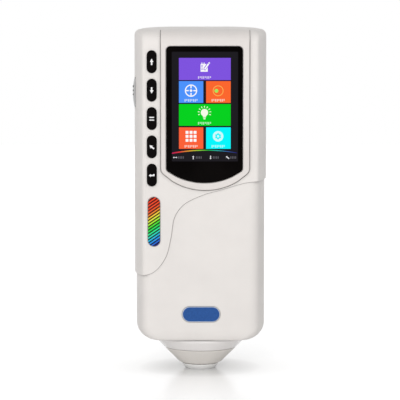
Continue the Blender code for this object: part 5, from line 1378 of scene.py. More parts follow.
class Pictogram(Enum):
    """Plain pictures on the tiles of the screen: outlines in millimetres about the middle, one in another a hole."""

    PAGE = [
        [(-2.3, -2.6), (1.9, -2.6), (1.9, 0.1), (0.5, -1.9), (-0.5, -1.5), (-0.4, -0.4), (1.2, 1.9), (-2.3, 1.9)],
        *(box_outline(1.1, 0.35, (-1.45, z), 0.05) for z in (1.1, 0.3, -0.5, -1.3)),
        *(box_outline(0.35, 0.8, (x, 2.35), 0.05) for x in (-1.7, -0.9, -0.1)),
        [(-0.05, -1.3), (0.45, -1.5), (2.75, 1.75), (2.0, 2.3), (-0.15, -0.75)],
        [(2.95, 2.0), (3.35, 2.6), (2.65, 3.1), (2.2, 2.55)]]
    TARGET = [
        circle(3.6), circle(2.95), *(box_outline(1.5, 0.7, (x, 0), 0.05) for x in (-2.13, 2.13)),
        *(box_outline(0.7, 1.5, (0, z), 0.05) for z in (-2.13, 2.13)), circle(0.75, sides=24)]
    DIAL = [circle(3.1), circle(2.75)]
    BULB = [
        arc_points((0, 0.4), 2.15, -62, 242, 40) + [(-0.85, -2.2), (0.85, -2.2)],
        box_outline(1.6, 0.42, (0, -2.75), 0.1), box_outline(1.1, 0.42, (0, -3.35), 0.1),
        *(spun([(2.8, -0.12), (3.9, -0.28), (3.9, 0.28), (2.8, 0.12)], -20 + 27.5 * i, (0, 0.4)) for i in range(9))]
    DOTS = [box_outline(1.7, 1.7, (i // 3 * 2.35 - 2.35, i % 3 * 2.35 - 2.35), 0.15) for i in range(9)]
    WHEEL = [
        circle(3.1), [spun([(2.1 if i % 2 else 1.45, 0)], 30 * i, (0, 0))[0] for i in range(12)],
        circle(0.7, sides=24)]


@dataclass(frozen=True)
class Tile:
    """One coloured tile of the screen with its picture."""

    low: Point
    high: Point
    colour: tuple[int, int, int]
    picture: Pictogram
    centre: Point
    ink: tuple[int, int, int] = (255, 255, 255)


@dataclass(frozen=True)
class Screen:
    """What the lit panel shows: tiles, an arc and a row of small signs, all in millimetres."""

    glass_front: float
    print_step: float = 0.00003
    panel: tuple[Point, Point] = ((-16.8, 127.8), (22.1, 192.3))
    row_z: float = 130.1
    arc_ends: tuple[Point, Point] = ((-16.7, 132.6), (21.6, 132.8))
    arc_rise: float = 1.7
    arc_width: float = 0.56
    tiles: tuple[Tile, ...] = (
        Tile((-12.6, 175.7), (17.8, 188.7), (128, 84, 226), Pictogram.PAGE, (2.4, 183.2)),
        Tile((-12.6, 162.3), (1.7, 175.1), (77, 148, 255), Pictogram.TARGET, (-5.5, 169.5)),
        Tile((3.35, 162.3), (17.8, 175.1), (255, 104, 46), Pictogram.DIAL, (10.4, 169.4), (255, 196, 92)),
        Tile((-12.6, 148.8), (17.8, 161.6), (0, 212, 30), Pictogram.BULB, (2.4, 156.2), (250, 255, 236)),
        Tile((-12.6, 135.2), (1.7, 147.9), (255, 98, 56), Pictogram.DOTS, (-5.5, 142.6)),
        Tile((3.35, 135.2), (17.8, 147.9), (0, 250, 255), Pictogram.WHEEL, (10.4, 142.6), (214, 255, 255)),
    )

    def plate(self, name: str, outlines: Sequence[Outline], layer: int, finish: Finish,
              place: Point = (0.0, 0.0)) -> None:
        """Make a thin lit shape laid in the glass.

        Args:
            name: Name of the piece.
            outlines: Its outlines.
            layer: How many layers it stands above the glass.
            finish: Its finish.
            place: Where their origin goes.
        """
        outlines = in_metres(outlines, (place[0] * MM, place[1] * MM))
        front, back = self.glass_front - layer * self.print_step, self.glass_front + 4 * self.print_step
        dress(name, prism(outlines, Axis.Y, front, back), finish)

    def build(self) -> None:
        """Make the panel and everything on it."""
        self.plate("screen_panel", [rounded_rectangle(*self.panel, 0.4, 4)], 1, Finishes.SCREEN)
        for tile in self.tiles:
            self.build_tile(tile)
        self.build_arc()
        self.build_signs()
        refinish(Finishes.SCREEN, "lcd_module")

    def build_tile(self, tile: Tile) -> None:
        """Make one tile with its picture and the short bars under it.

        Args:
            tile: The tile.
        """
        name = tile.picture.name.lower()
        outline = rounded_rectangle(tile.low, tile.high, 0.12, 3)
        self.plate(f"tile_{name}", [outline], 2, lit(f"lit_{name}", tile.colour))
        self.plate(f"picture_{name}", tile.picture.value, 3, lit(f"ink_{name}", tile.ink), tile.centre)
        if tile.picture is Pictogram.DIAL:
            dot = circle(1.15, (-1.0, 0), 30)
            self.plate("picture_dial_dot", [dot], 4, lit("lit_dot", (168, 236, 92)), tile.centre)
        faded = tuple(round(c + (255 - c) * 0.7) for c in tile.colour)
        bars = [box_outline(0.62, 1.5 - 0.5 * (i % 3 == 1), (i - 3.5, 0.25 * (i % 3 == 1)), 0.12) for i in range(8)]
        self.plate(f"bars_{name}", bars, 3, lit(f"bar_ink_{name}", faded), (tile.centre[0], tile.low[1] + 1.5))

    def build_arc(self) -> None:
        """Make the thin rainbow arc under the tiles."""
        (x0, z0), (x1, z1) = self.arc_ends
        steps, upper, lower = 48, [], []
        for i in range(steps + 1):
            t = i / steps
            x, z = x0 + (x1 - x0) * t, z0 + (z1 - z0) * t + self.arc_rise * (1 - (2 * t - 1) ** 2)
            half = self.arc_width / 2 * (1.35 - 0.9 * t)
            upper.append((x, z + half))
            lower.append((x, z - half))
        self.plate("screen_arc_line", [upper + lower[::-1]], 2, Finishes.ARC)

    def build_signs(self) -> None:
        """Make the row of small signs at the foot of the screen."""
        z = self.row_z
        signs = [arrow(1.2, 1.1, 0.3, 180, (-15.5, z)), arrow(1.2, 1.1, 0.3, 0, (-14.3, z)),
                 arrow(2.1, 1.2, 0.5, 90, (-4.2, z)), arrow(2.1, 1.2, 0.5, 270, (6.0, z)),
                 arrow(2.3, 1.3, 0.6, 140, (16.0, z))]
        self.plate("screen_signs", signs, 2, lit("ink_signs", (232, 232, 236)))
        bars = [box_outline(0.5, 1.4, (x + 0.95 * i, z), 0.1) for x in (-12.9, -2.4, 7.6, 17.9) for i in range(4)]
        self.plate("screen_sign_bars", bars, 2, lit("ink_signs_dim", (96, 94, 102)))


KEY_MARKS: dict[str, list[Outline]] = {
    "key_up": [arrow(3.7, 2.15, 0.85, 90, head=1.9)],
    "key_down": [arrow(3.7, 2.15, 0.85, 270, head=1.9)],
    "key_menu": [box_outline(2.8, 0.65, (0, z), 0.08) for z in (-0.8, 0.8)],
    "key_back": [arrow(3.4, 2.1, 0.85, 142, head=1.7)],
    "key_enter": [[(-1.75, -0.15), (-0.6, 0.85), (-0.6, 0.3), (0.7, 0.3), (0.7, 0.75), (1.6, 0.75),
                   (1.6, -0.5), (-0.6, -0.5), (-0.6, -1.05)]],
}


@dataclass(frozen=True)
class Keypad:
    """Five pill-shaped rubber keys with white marks, which are drawn in millimetres."""

    x: float = -0.0286
    top_z: float = 0.1864
    pitch: float = 0.0167
    width: float = 0.0052
    height: float = 0.0128
    front_y: float = -0.0332
    round_radius: float = 0.0006
    crown: float = 0.00012
    crown_inset: float = 0.0016
    flange: float = 0.0008
    flange_front_y: float = -0.0294
    flange_back_y: float = -0.0286
    mark_lift: float = 0.00004
    mark_root: float = 0.0002

    def places(self) -> list[Point]:
        """Middles of the keys from top to bottom."""
        return [(self.x, self.top_z - i * self.pitch) for i in range(len(KEY_MARKS))]

    def slots(self) -> list[Outline]:
        """Outlines of the openings that the keys stand in."""
        return [pill(place, self.width + 2 * GAP, self.height + 2 * GAP) for place in self.places()]

    def build(self) -> None:
        """Make every key with its mark."""
        levels = rounded_levels(self.flange_front_y + GAP, self.front_y, self.round_radius, 6)
        levels.append((self.front_y - self.crown, self.crown_inset))
        for (name, marks), place in zip(KEY_MARKS.items(), self.places()):
            key = stepped(lambda inset: pill(place, self.width - 2 * inset, self.height - 2 * inset), levels)
            flange = prism([pill(place, self.width, self.height + 2 * self.flange)], Axis.Y,
                           self.flange_front_y, self.flange_back_y)
            dress(name + "_cap", combine(key, Join.ADD, flange), Finishes.RUBBER, name, body=name)
            mark = prism(in_metres(marks, place), Axis.Y,
                         self.front_y - self.crown - self.mark_lift, self.front_y + self.mark_root)
            dress(name + "_mark", mark, Finishes.MARK, body=name)


KEYPAD = Keypad()


@dataclass(frozen=True)
class ThumbButton:
    """Ribbed button that bulges out of the left side."""

    y: float = -0.0125
    z: float = 0.1674
    height: float = 0.0172
    depth: float = 0.008
    crown_x: float = -0.0401
    edge_drop: float = 0.001
    flange: float = 0.001
    flange_out_x: float = -0.0351
    opening_x: float = -0.033
    round_radius: float = 0.0007
    rib_lift: float = 0.0012
    rib_pitch: float = 0.0024
    rib_width: float = 0.001
    rib_depth: float = 0.0005
    rib_play: float = 0.0001
    steps: int = 48

    def outline(self, drop: float) -> Outline:
        """Bulging (x, z) outline, drawn in by the rounding of the two ends.

        Args:
            drop: How far it is drawn in.

        Returns:
            The closed outline.
        """
        half, rise = self.height / 2 - drop, self.edge_drop
        arc = (half * half + rise * rise) / (2 * rise)
        spread = degrees(atan2(half, arc - rise))
        bow = arc_points((self.crown_x + drop + arc, self.z), arc, 180 - spread, 180 + spread, self.steps)
        inner_x = self.flange_out_x + self.flange / 2
        return bow + [(inner_x, self.z - half), (inner_x, self.z + half)]

    def opening(self) -> Item:
        """Cutter for the button's opening in the upper shell."""
        half_y, half_z = self.depth / 2 + GAP, self.height / 2 + GAP
        return block((self.crown_x - OVERRUN, self.y - half_y, self.z - half_z),
                     (self.opening_x, self.y + half_y, self.z + half_z))

    def build(self) -> None:
        """Make the button and its rubber ribs."""
        low_y, high_y = self.y - self.depth / 2, self.y + self.depth / 2
        levels = [(self.round_radius * (1 - cos(a)), self.round_radius * (1 - sin(a))) for a in quarter(8)]
        sections = [(low_y + drop, inset) for drop, inset in levels]
        sections += [(high_y - drop, inset) for drop, inset in reversed(levels)]
        half = self.height / 2 + self.flange
        flange = block((self.flange_out_x, low_y - self.flange, self.z - half),
                       (self.flange_out_x + self.flange, high_y + self.flange, self.z + half))
        button = combine(stepped(self.outline, sections), Join.ADD, flange)
        grooves, ribs = [], []
        wide, thin, play = self.rib_width / 2, (self.rib_width - self.rib_play) / 2, self.rib_play
        floor_x = self.crown_x + self.rib_depth
        for i in (-1, 0, 1):
            z = self.z + self.rib_lift + i * self.rib_pitch
            grooves.append(block((self.crown_x - OVERRUN, low_y - GAP, z - wide),
                                 (floor_x, high_y + GAP, z + wide)))
            ribs.append(block((self.crown_x, low_y + play, z - thin),
                              (floor_x + play, high_y - play, z + thin)))
        dress("thumb_button", combine(button, Join.CUT, *grooves), Finishes.BUTTON, "measure_button",
              body="measure_button")
        rib = soften(combine(ribs[0], Join.ADD, *ribs[1:]), 0.00012)
        dress("thumb_ribs", rib, Finishes.RUBBER, body="measure_button")


THUMB = ThumbButton()


@dataclass(frozen=True)
class Badge:
    """Place and size of one pill-shaped badge and of its seat."""

    form: FrontForm
    centre: Point
    width: float
    height: float
    proud: float
    seat_depth: float = 0.0006

    def outline(self, inset: float) -> Outline:
        """Outline drawn in by an inset."""
        return pill(self.centre, self.width - 2 * inset, self.height - 2 * inset, 28)

    def seat(self) -> Item:
        """Cutter for the badge's seat in its shell."""
        return self.form.cutter([self.outline(-GAP)], self.seat_depth)

    def ends(self) -> Point:
        """Depth of the badge's back and of its front."""
        return self.form.face_y + self.seat_depth - GAP, self.form.face_y - self.proud


@dataclass(frozen=True)
class Badges:
    """Domed rainbow badge and the blue plate near the foot."""

    spectrum: Badge = Badge(UPPER, (-0.0274, 0.0920), 0.007, 0.029, 0.0007)
    plate: Badge = Badge(LOWER, (0.00045, 0.03675), 0.0223, 0.0091, 0.0003)
    edge: float = 0.15
    dome_steps: int = 14
    rim: float = 0.0003

    def build(self) -> None:
        """Make both badges."""
        face, proud = UPPER.face_y, self.spectrum.proud
        levels = [(self.spectrum.ends()[0], 0.0), (face - proud * self.edge, 0.0)]
        for share in (i / self.dome_steps for i in range(1, self.dome_steps + 1)):
            height = self.edge + (1 - self.edge) * sqrt(1 - (1 - share) ** 2)
            levels.append((face - proud * height, self.spectrum.width / 2 * share ** 1.6 * 0.97))
        dress("rainbow_badge", stepped(self.spectrum.outline, levels), Finishes.SPECTRUM, "spectrum_badge")
        back, front = self.plate.ends()
        rim = stepped(self.plate.outline, rounded_levels(back, front, 0.0002))
        dress("plate_rim", rim, Finishes.PALE_BLUE, "label_badge")
        levels = [(front + 0.0001, self.rim), (front - 0.00003, self.rim), (front - 0.00006, self.rim + 0.00006)]
        dress("plate_field", stepped(self.plate.outline, levels), Finishes.BLUE)


BADGES = Badges()


@dataclass(frozen=True)
class FrontShells:
    """Upper and lower front shells that meet at the curved seam."""

    wall: float = 0.0025
    lower_wall: float = 0.003
    lip: float = 0.0012
    lip_above: float = 0.0026
    lip_below: float = 0.004
    boss_radius: float = 0.0029
    boss_floor: float = 0.001
    edge: float = 0.0002
    seam_gap: float = 0.0001
    seam: Seam = Seam()
    display: Display = Display()

    def build(self) -> None:
        """Make both shells."""
        self.build_upper()
        self.build_lower()

    def bored(self, shell: Item, places: Sequence[Point], front_y: float, *more: Item) -> Item:
        """Add bosses that take housing screws, and bore them.

        Args:
            shell: The shell.
            places: Where the screws are.
            front_y: Depth at which the bosses start.
            more: Other shapes that are added first.

        Returns:
            The shell with its bosses.
        """
        centres = [(x, 0, z) for x, z in places]
        bosses = rods(centres, self.boss_radius, Axis.Y, front_y, UPPER.parting_y)
        shell = combine(shell, Join.ADD, *more, bosses)
        end = FASTENING.seat_y - FASTENING.length - self.boss_floor
        return combine(shell, Join.CUT, rods(centres, FASTENING.radius + GAP, Axis.Y,
                                             end, UPPER.parting_y + OVERRUN))

    def build_upper(self) -> None:
        """Make the shell above the seam."""
        open_y = UPPER.parting_y + OVERRUN
        hollow = replace(UPPER, low_z=UPPER.low_z - self.wall - OVERRUN).inset(self.wall)
        shell = combine(UPPER.solid(), Join.CUT, hollow.solid(open_y))
        shell = combine(shell, Join.KEEP, self.seam.side(self.seam_gap / 2, self.display.top_z))
        shell = self.bored(shell, FASTENING.upper, UPPER.face_y + self.wall / 2)
        outline = self.display.frame_outline(self.display.groove)
        seat = UPPER.cutter([outline], self.display.reach + GAP)
        seat = combine(seat, Join.CUT, UPPER.inset(self.display.seat).solid(open_y))
        view = [rounded_rectangle(*self.display.view, 0.001)]
        shell = combine(shell, Join.CUT, seat, UPPER.cutter(view, self.wall + OVERRUN / 2),
                        UPPER.cutter(KEYPAD.slots(), self.wall + GAP), BADGES.spectrum.seat(), THUMB.opening())
        shell = soften(shell, self.edge, UPPER.on_skin)
        follow_form(dress("upper_shell", shell, Finishes.SHELL, "upper_housing"), UPPER)

    def build_lower(self) -> None:
        """Make the shell below the seam, with the lip that stands up behind it."""
        hollow = replace(LOWER.inset(self.lower_wall), high_z=LOWER.high_z + OVERRUN)
        shell = combine(LOWER.solid(), Join.CUT, hollow.solid(LOWER.parting_y + OVERRUN))
        shell = combine(shell, Join.KEEP, self.seam.side(-self.seam_gap / 2, LOWER.low_z - OVERRUN))
        shell = combine(shell, Join.CUT, neck_hole(), BADGES.plate.seat())
        shell = soften(shell, self.edge, LOWER.on_skin)
        shell = self.bored(shell, FASTENING.lower, LOWER.face_y + self.lower_wall / 2, self.seam_lip())
        follow_form(dress("lower_shell", shell, Finishes.SHELL, "lower_cover"), LOWER)

    def seam_lip(self) -> Item:
        """Tongue behind the upper shell's edge.

        Returns:
            The tongue.
        """
        outside = replace(UPPER.inset(self.wall + GAP), low_z=UPPER.low_z, high_z=LOWER.high_z, high_round=0.0)
        inside = replace(outside.inset(self.lip), low_z=outside.low_z - OVERRUN, high_z=outside.high_z + OVERRUN)
        tongue = combine(outside.solid(UPPER.parting_y - self.lip / 2), Join.CUT,
                         inside.solid(UPPER.parting_y + OVERRUN))
        return combine(tongue, Join.KEEP, self.seam.band(self.lip_above, self.lip_below))


def neck_hole(radius: float = 0.024, floor: float = 0.0033) -> Item:
    """Round hole in the housing floor for the neck of the measuring head."""
    return rods([(0, 0, 0)], radius, Axis.Z, LOWER.low_z - OVERRUN, LOWER.low_z + floor, 128)


@dataclass(frozen=True)
class BatteryBay:
    """Battery, its bay and the hinged door in the back."""

    half_width: float = 0.0228
    low_z: float = 0.0820
    high_z: float = 0.1580
    thickness: float = 0.0018
    door_gap: float = 0.0004
    ledge: float = 0.0024
    tub_wall: float = 0.0016
    floor_y: float = 0.0100
    cell_radius: float = 0.0093
    cell_x: float = 0.0102
    cell_low_z: float = 0.0861
    cell_high_z: float = 0.1548
    waist: float = 0.12
    end_radius: float = 0.00665
    end_proud: float = 0.00015
    end_root: float = 0.0004
    catch_half: float = 0.0040
    catch_thickness: float = 0.0012
    catch_depth: float = 0.0030
    grip_count: int = 4
    grip_pitch: float = 0.0022
    grip_width: float = 0.0009
    grip_depth: float = 0.0005
    grip_half: float = 0.0080
    grip_drop: float = 0.0060
    edge: float = 0.0003

    def door(self, spare: float) -> Item:
        """Outline of the door, grown by a spare and drawn out through the back."""
        outline = rounded_rectangle((-self.half_width - spare, self.low_z - spare),
                                    (self.half_width + spare, self.high_z + spare), self.ledge, 10)
        return BACK.cutter([outline], BACK.face_y + BACK.parting_y)

    def box(self, spare: float) -> Item:
        """Block as large as the door and a spare, from the bay's floor out through the back."""
        half = self.half_width + spare
        return block((-half, self.floor_y - max(spare, 0.0), self.low_z - spare),
                     (half, BACK.face_y + OVERRUN, self.high_z + spare))

    def tub(self, limit: Item) -> Item:
        """Block that the bay is cut into, kept inside a form."""
        return combine(self.box(self.tub_wall), Join.KEEP, limit)

    def cutters(self) -> list[Item]:
        """Shapes that open the bay and the seat of the door."""
        floor = BACK.inset(self.thickness + GAP).solid(BACK.parting_y)
        return [self.box(-self.ledge), combine(self.door(self.door_gap), Join.CUT, floor)]

    def build(self) -> None:
        """Make the door and the battery."""
        self.build_door()
        self.build_battery()

    def build_door(self) -> None:
        """Make the curved door with grips and catch."""
        door = combine(self.door(0.0), Join.KEEP, BACK.solid())
        door = combine(door, Join.CUT, BACK.inset(self.thickness).solid(BACK.parting_y))
        tops = [self.high_z - self.grip_drop - i * self.grip_pitch for i in range(self.grip_count)]
        grips = [rounded_rectangle((-self.grip_half, top - self.grip_width), (self.grip_half, top),
                                   self.grip_width * 0.45) for top in tops]
        door = combine(door, Join.CUT, BACK.cutter(grips, self.grip_depth))
        door = soften(door, self.edge, BACK.on_skin)
        top, back = self.high_z - self.ledge - self.door_gap, BACK.face_y - self.thickness
        catch = block((-self.catch_half, back - self.catch_depth + GAP, top - self.catch_thickness),
                      (self.catch_half, back + self.thickness / 2, top))
        door = combine(door, Join.ADD, catch)
        follow_form(dress("battery_hatch", door, Finishes.SHELL, "battery_door", body="battery_door"), BACK)

    def middle_y(self) -> float:
        """Depth of the cells' axes."""
        return self.floor_y + GAP + self.cell_radius

    def sleeve(self, inset: float) -> Outline:
        """Waisted (x, y) outline of the sleeve, drawn in by an inset."""
        loop = pill((0, 0), 2 * (self.cell_x + self.cell_radius - inset), 2 * (self.cell_radius - inset), 24)
        return [(x, self.middle_y() + y * (1 - self.waist * (1 - min(abs(x) / self.cell_x, 1.0)))) for x, y in loop]

    def build_battery(self) -> None:
        """Make two cells in one shrunk sleeve."""
        low, high = self.cell_low_z, self.cell_high_z
        levels = [(low, 0.0022), (low + 0.0003, 0.0008), (low + 0.001, 0.0),
                  (high - 0.001, 0.0), (high - 0.0003, 0.0008), (high, 0.0022)]
        sleeve = loft([[(x, y, z) for x, y in self.sleeve(inset)] for z, inset in levels])
        dress("battery_sleeve", sleeve, Finishes.SLEEVE, "battery_pack")
        cap = turned([(0.0, self.end_proud), (self.end_radius, self.end_proud),
                                  (self.end_radius, -self.end_root), (0.0, -self.end_root)], 48)
        places = [Matrix.Translation((side * self.cell_x, self.middle_y(), high)) for side in (-1, 1)]
        for side, piece in zip(("left", "right"), copies(cap, places)):
            dress(f"cell_end_{side}", piece, Finishes.STEEL)
        refinish(Finishes.BRASS, "battery_contact_1", "battery_contact_2")


BAY = BatteryBay()


@dataclass(frozen=True)
class PowerSwitch:
    """Rocker switch in the right side."""

    y: float = 0.0080
    z: float = 0.1400
    half_length: float = 0.0076
    half_width: float = 0.0036
    crown: float = 0.0024
    valley: float = 0.0014
    belly: float = 0.0030
    shoulder: float = 0.0004
    pivot_depth: float = 0.0030
    tilt: float = 8.0
    pin_radius: float = 0.0009
    wall: float = 0.0012
    room: float = 0.0007
    flange: float = 0.0012
    flange_thickness: float = 0.0008
    recess: float = 0.0011
    corner: float = 0.0006
    valley_steps: int = 18

    def wall_x(self) -> float:
        """Outside of the housing at the switch."""
        return BACK.side_x(self.y)

    def box(self, low_x: float, high_x: float, spare: float, corner: float = 0.0) -> Item:
        """Box round the room that the rocker needs.

        Args:
            low_x: Where it starts.
            high_x: Where it ends.
            spare: How far it reaches past the room.
            corner: Radius of its corners, 0 for square ones.

        Returns:
            The box.
        """
        half_y = self.half_width + GAP + spare
        half_z = hypot(self.half_length, self.crown) + GAP + spare
        low, high = (self.y - half_y, self.z - half_z), (self.y + half_y, self.z + half_z)
        if corner:
            return prism([rounded_rectangle(low, high, corner)], Axis.X, low_x, high_x)
        return block((low_x, *low), (high_x, *high))

    def cutters(self, inner_x: float) -> list[Item]:
        """Opening that reaches in to a depth, and seat of the switch in the back cover."""
        out_x, seat = self.wall_x() + OVERRUN, self.wall + self.flange + GAP
        return [self.box(inner_x, out_x, self.wall + GAP, self.corner),
                self.box(self.wall_x() - self.recess, out_x, seat, self.corner)]

    def build(self) -> None:
        """Make the frame and the rocker."""
        self.build_frame()
        self.build_rocker()

    def build_frame(self) -> None:
        """Make the switch body with its flange and pocket."""
        lean = radians(self.tilt)
        floor_x = self.wall_x() - self.pivot_depth - self.belly * (cos(lean) + sin(lean)) - GAP
        flange_x = self.wall_x() - self.recess + GAP
        middle_x = flange_x + self.flange_thickness / 2
        rim = self.box(flange_x, flange_x + self.flange_thickness, self.wall + self.flange, self.corner)
        frame_ = combine(self.box(floor_x - self.wall, middle_x, self.wall), Join.ADD, rim)
        reach = self.half_width + GAP + self.room
        holes = rods([(self.wall_x() - self.pivot_depth, 0, self.z)], self.pin_radius + GAP / 2, Axis.Y,
                     self.y - reach, self.y + reach)
        pocket = self.box(floor_x, self.wall_x() + OVERRUN, 0.0)
        frame_ = combine(frame_, Join.CUT, pocket, holes)
        frame_ = soften(frame_, 0.0002, lambda point: point.x > middle_x)
        dress("switch_body", frame_, Finishes.BLACK, "power_switch_frame")

    def build_rocker(self) -> None:
        """Make the rocker with its two generic marks, tilted to its rest position."""
        top = [(self.valley + (self.crown - self.valley) * abs(t) ** 1.7, t * self.half_length)
               for t in (2 * i / self.valley_steps - 1 for i in range(self.valley_steps + 1))]
        outline = [(-self.shoulder, -self.half_length)] + top + [
            (-self.shoulder, self.half_length), (-self.belly, self.belly), (-self.belly, -self.belly)]
        rocker = soften(prism([outline], Axis.Y, -self.half_width, self.half_width), 0.0004, segments=4)
        pin_half = self.half_width + GAP / 2 + self.room
        pins = rods([(0, 0, 0)], self.pin_radius, Axis.Y, -pin_half, pin_half, 32)
        rocker = combine(rocker, Join.ADD, pins)
        middle = self.half_length * 0.6
        line = prism([box_outline(0.0004, 0.0024, (0, middle), 0.0001)], Axis.X, 0.0, self.crown)
        rings = [circle(radius, (0, -middle)) for radius in (0.0012, 0.0008)]
        marks = combine(line, Join.ADD, prism(rings, Axis.X, 0.0, self.crown))
        shell = [(x + 0.00003, z) for x, z in top] + [(x - 0.0002, z) for x, z in top[::-1]]
        marks = combine(marks, Join.KEEP, prism([shell], Axis.Y, -self.half_width, self.half_width))
        place = Matrix.Translation((self.wall_x() - self.pivot_depth, self.y, self.z)) \
            @ Matrix.Rotation(radians(-self.tilt), 4, "Y")
        for name, piece, *look in (("rocker_body", rocker, Finishes.BLACK, "power_rocker"),
                                   ("rocker_line", marks, Finishes.MARK)):
            piece.data.transform(place)
            dress(name, piece, *look, body="power_rocker")


SWITCH = PowerSwitch()


@dataclass(frozen=True)
class Sockets:
    """USB socket and power jack on their small board."""

    y: float = 0.0080
    usb_z: float = 0.0580
    usb_half_length: float = 0.0039
    usb_half_height: float = 0.0020
    usb_corner: float = 0.0005
    usb_skin: float = 0.0004
    usb_depth: float = 0.0050
    tongue_half: Point = (0.0026, 0.0005)
    tongue_root: float = 0.0002
    tongue_setback: float = 0.0012
    jack_z: float = 0.0730
    jack_half: float = 0.0045
    barrel: float = 0.0038
    bore: float = 0.0028
    pin: float = 0.00105
    pin_round: float = 0.0004
    bore_depth: float = 0.0066
    pin_setback: float = 0.0010
    setback: float = 0.0007
    cover_wall: float = 0.0025
    board_x: float = 0.0272
    board_thickness: float = 0.0014
    board_margin: float = 0.0035
    rail: float = 0.0018

    def wall_x(self) -> float:
        """Outside of the housing at the sockets."""
        return BACK.side_x(self.y)

    def span(self) -> Point:
        """Lower and upper edge of the board."""
        margin = self.board_margin
        return self.usb_z - self.usb_half_length - margin, self.jack_z + self.jack_half + margin

    def usb_outline(self, spare: float) -> Outline:
        """Outline of the USB socket, grown by a spare."""
        half_y, half_z = self.usb_half_height + spare, self.usb_half_length + spare
        return rounded_rectangle((self.y - half_y, self.usb_z - half_z), (self.y + half_y, self.usb_z + half_z),
                                 self.usb_corner, 5)

    def round(self, radius: float, low_x: float, high_x: float, sides: int = 72) -> Item:
        """Rod on the axis of the jack."""
        return rods([(0, self.y, self.jack_z)], radius, Axis.X, low_x, high_x, sides)

    def rails(self, limit: Item) -> Item:
        """Rails that hold the board, kept inside a form."""
        low, high = self.span()
        return combine(block((self.board_x - self.rail, self.y + self.jack_half + GAP, low + GAP),
                             (self.wall_x(), BACK.face_y, high - GAP)), Join.KEEP, limit)

    def cutters(self) -> list[Item]:
        """Slot of the board and openings of the two sockets.

        Returns:
            The cutters.
        """
        low, high = self.span()
        deep_y = self.y + self.jack_half + self.board_margin + GAP
        slot = block((self.board_x - GAP, BACK.parting_y - GAP, low - GAP),
                     (self.board_x + self.board_thickness + GAP, deep_y, high + GAP))
        out_x = self.wall_x() + OVERRUN
        return [slot, prism([self.usb_outline(GAP)], Axis.X, self.board_x, out_x),
                self.round(self.barrel + GAP, self.board_x, out_x)]

    def build(self) -> None:
        """Make both sockets."""
        self.build_usb()
        self.build_jack()
        refinish(Finishes.BOARD, "port_board")

    def ends(self) -> Point:
        """Where the sockets stand on the board and where they open."""
        return self.board_x + self.board_thickness + GAP, self.wall_x() - self.setback

    def build_usb(self) -> None:
        """Make the USB socket with its tongue."""
        base, mouth = self.ends()
        floor = mouth - self.usb_depth
        shell = prism([self.usb_outline(0), self.usb_outline(-self.usb_skin)], Axis.X, floor, mouth)
        shell = combine(shell, Join.ADD, prism([self.usb_outline(0)], Axis.X, base, floor + GAP))
        shell = soften(shell, 0.0001, lambda point: point.x > mouth - 0.0001)
        dress("usb_shell", shell, Finishes.STEEL, "usb_port")
        half_z, half_y = self.tongue_half
        tongue = block((floor - self.tongue_root, self.y - half_y, self.usb_z - half_z),
                       (mouth - self.tongue_setback, self.y + half_y, self.usb_z + half_z))
        dress("usb_tongue", soften(tongue, 0.0001), Finishes.BLACK)

    def build_jack(self) -> None:
        """Make the power jack with its pin."""
        base, mouth = self.ends()
        shoulder = self.wall_x() - self.cover_wall - 2 * GAP - self.rail / 2
        floor = mouth - self.bore_depth
        jack = block((base, self.y - self.jack_half, self.jack_z - self.jack_half),
                     (shoulder, self.y + self.jack_half, self.jack_z + self.jack_half))
        jack = combine(jack, Join.ADD, self.round(self.barrel, shoulder - GAP, mouth))
        jack = combine(jack, Join.CUT, self.round(self.bore, floor, mouth + OVERRUN, 64))
        jack = soften(jack, 0.00015, lambda point: point.x > mouth - 0.0001)
        dress("jack_body", jack, Finishes.BLACK, "dc_jack")
        tip = self.bore_depth - self.pin_setback
        pin = turned([(0.0, tip), (self.pin * 0.6, tip), (self.pin, tip - self.pin_round),
                                  (self.pin, -0.0002), (0.0, -0.0002)], 40)
        pin.data.transform(Matrix.Translation((floor, self.y, self.jack_z)) @ Axis.X.turn())
        dress("jack_pin", pin, Finishes.STEEL)


SOCKETS = Sockets()


@dataclass(frozen=True)
class BackShell:
    """Back cover with screw wells, battery bay and side openings."""

    wall: float = 0.0025
    edge: float = 0.0003

    def build(self) -> None:
        """Make the cover."""
        centres, out_y = FASTENING.centres(), BACK.face_y + OVERRUN
        hollow = BACK.inset(self.wall).solid(BACK.parting_y - OVERRUN)
        shell = combine(BACK.solid(), Join.CUT, hollow)
        middle = BACK.inset(self.wall / 2)
        posts = rods(centres, FASTENING.post_radius, Axis.Y, BACK.parting_y, out_y)
        posts = combine(posts, Join.KEEP, middle.solid())
        shell = combine(shell, Join.ADD, BAY.tub(middle.solid()), posts,
                        SOCKETS.rails(middle.solid()))
        holes = rods(centres, FASTENING.radius + GAP, Axis.Y, BACK.parting_y - OVERRUN, BACK.face_y)
        wells = rods(centres, FASTENING.head_radius + GAP, Axis.Y, FASTENING.seat_y, out_y, 48)
        shell = combine(shell, Join.CUT, *BAY.cutters(), holes, wells, neck_hole(),
                        *SWITCH.cutters(SOCKETS.board_x), *SOCKETS.cutters())
        shell = soften(shell, self.edge, BACK.on_skin)
        follow_form(dress("back_shell", shell, Finishes.SHELL, "back_cover"), BACK)


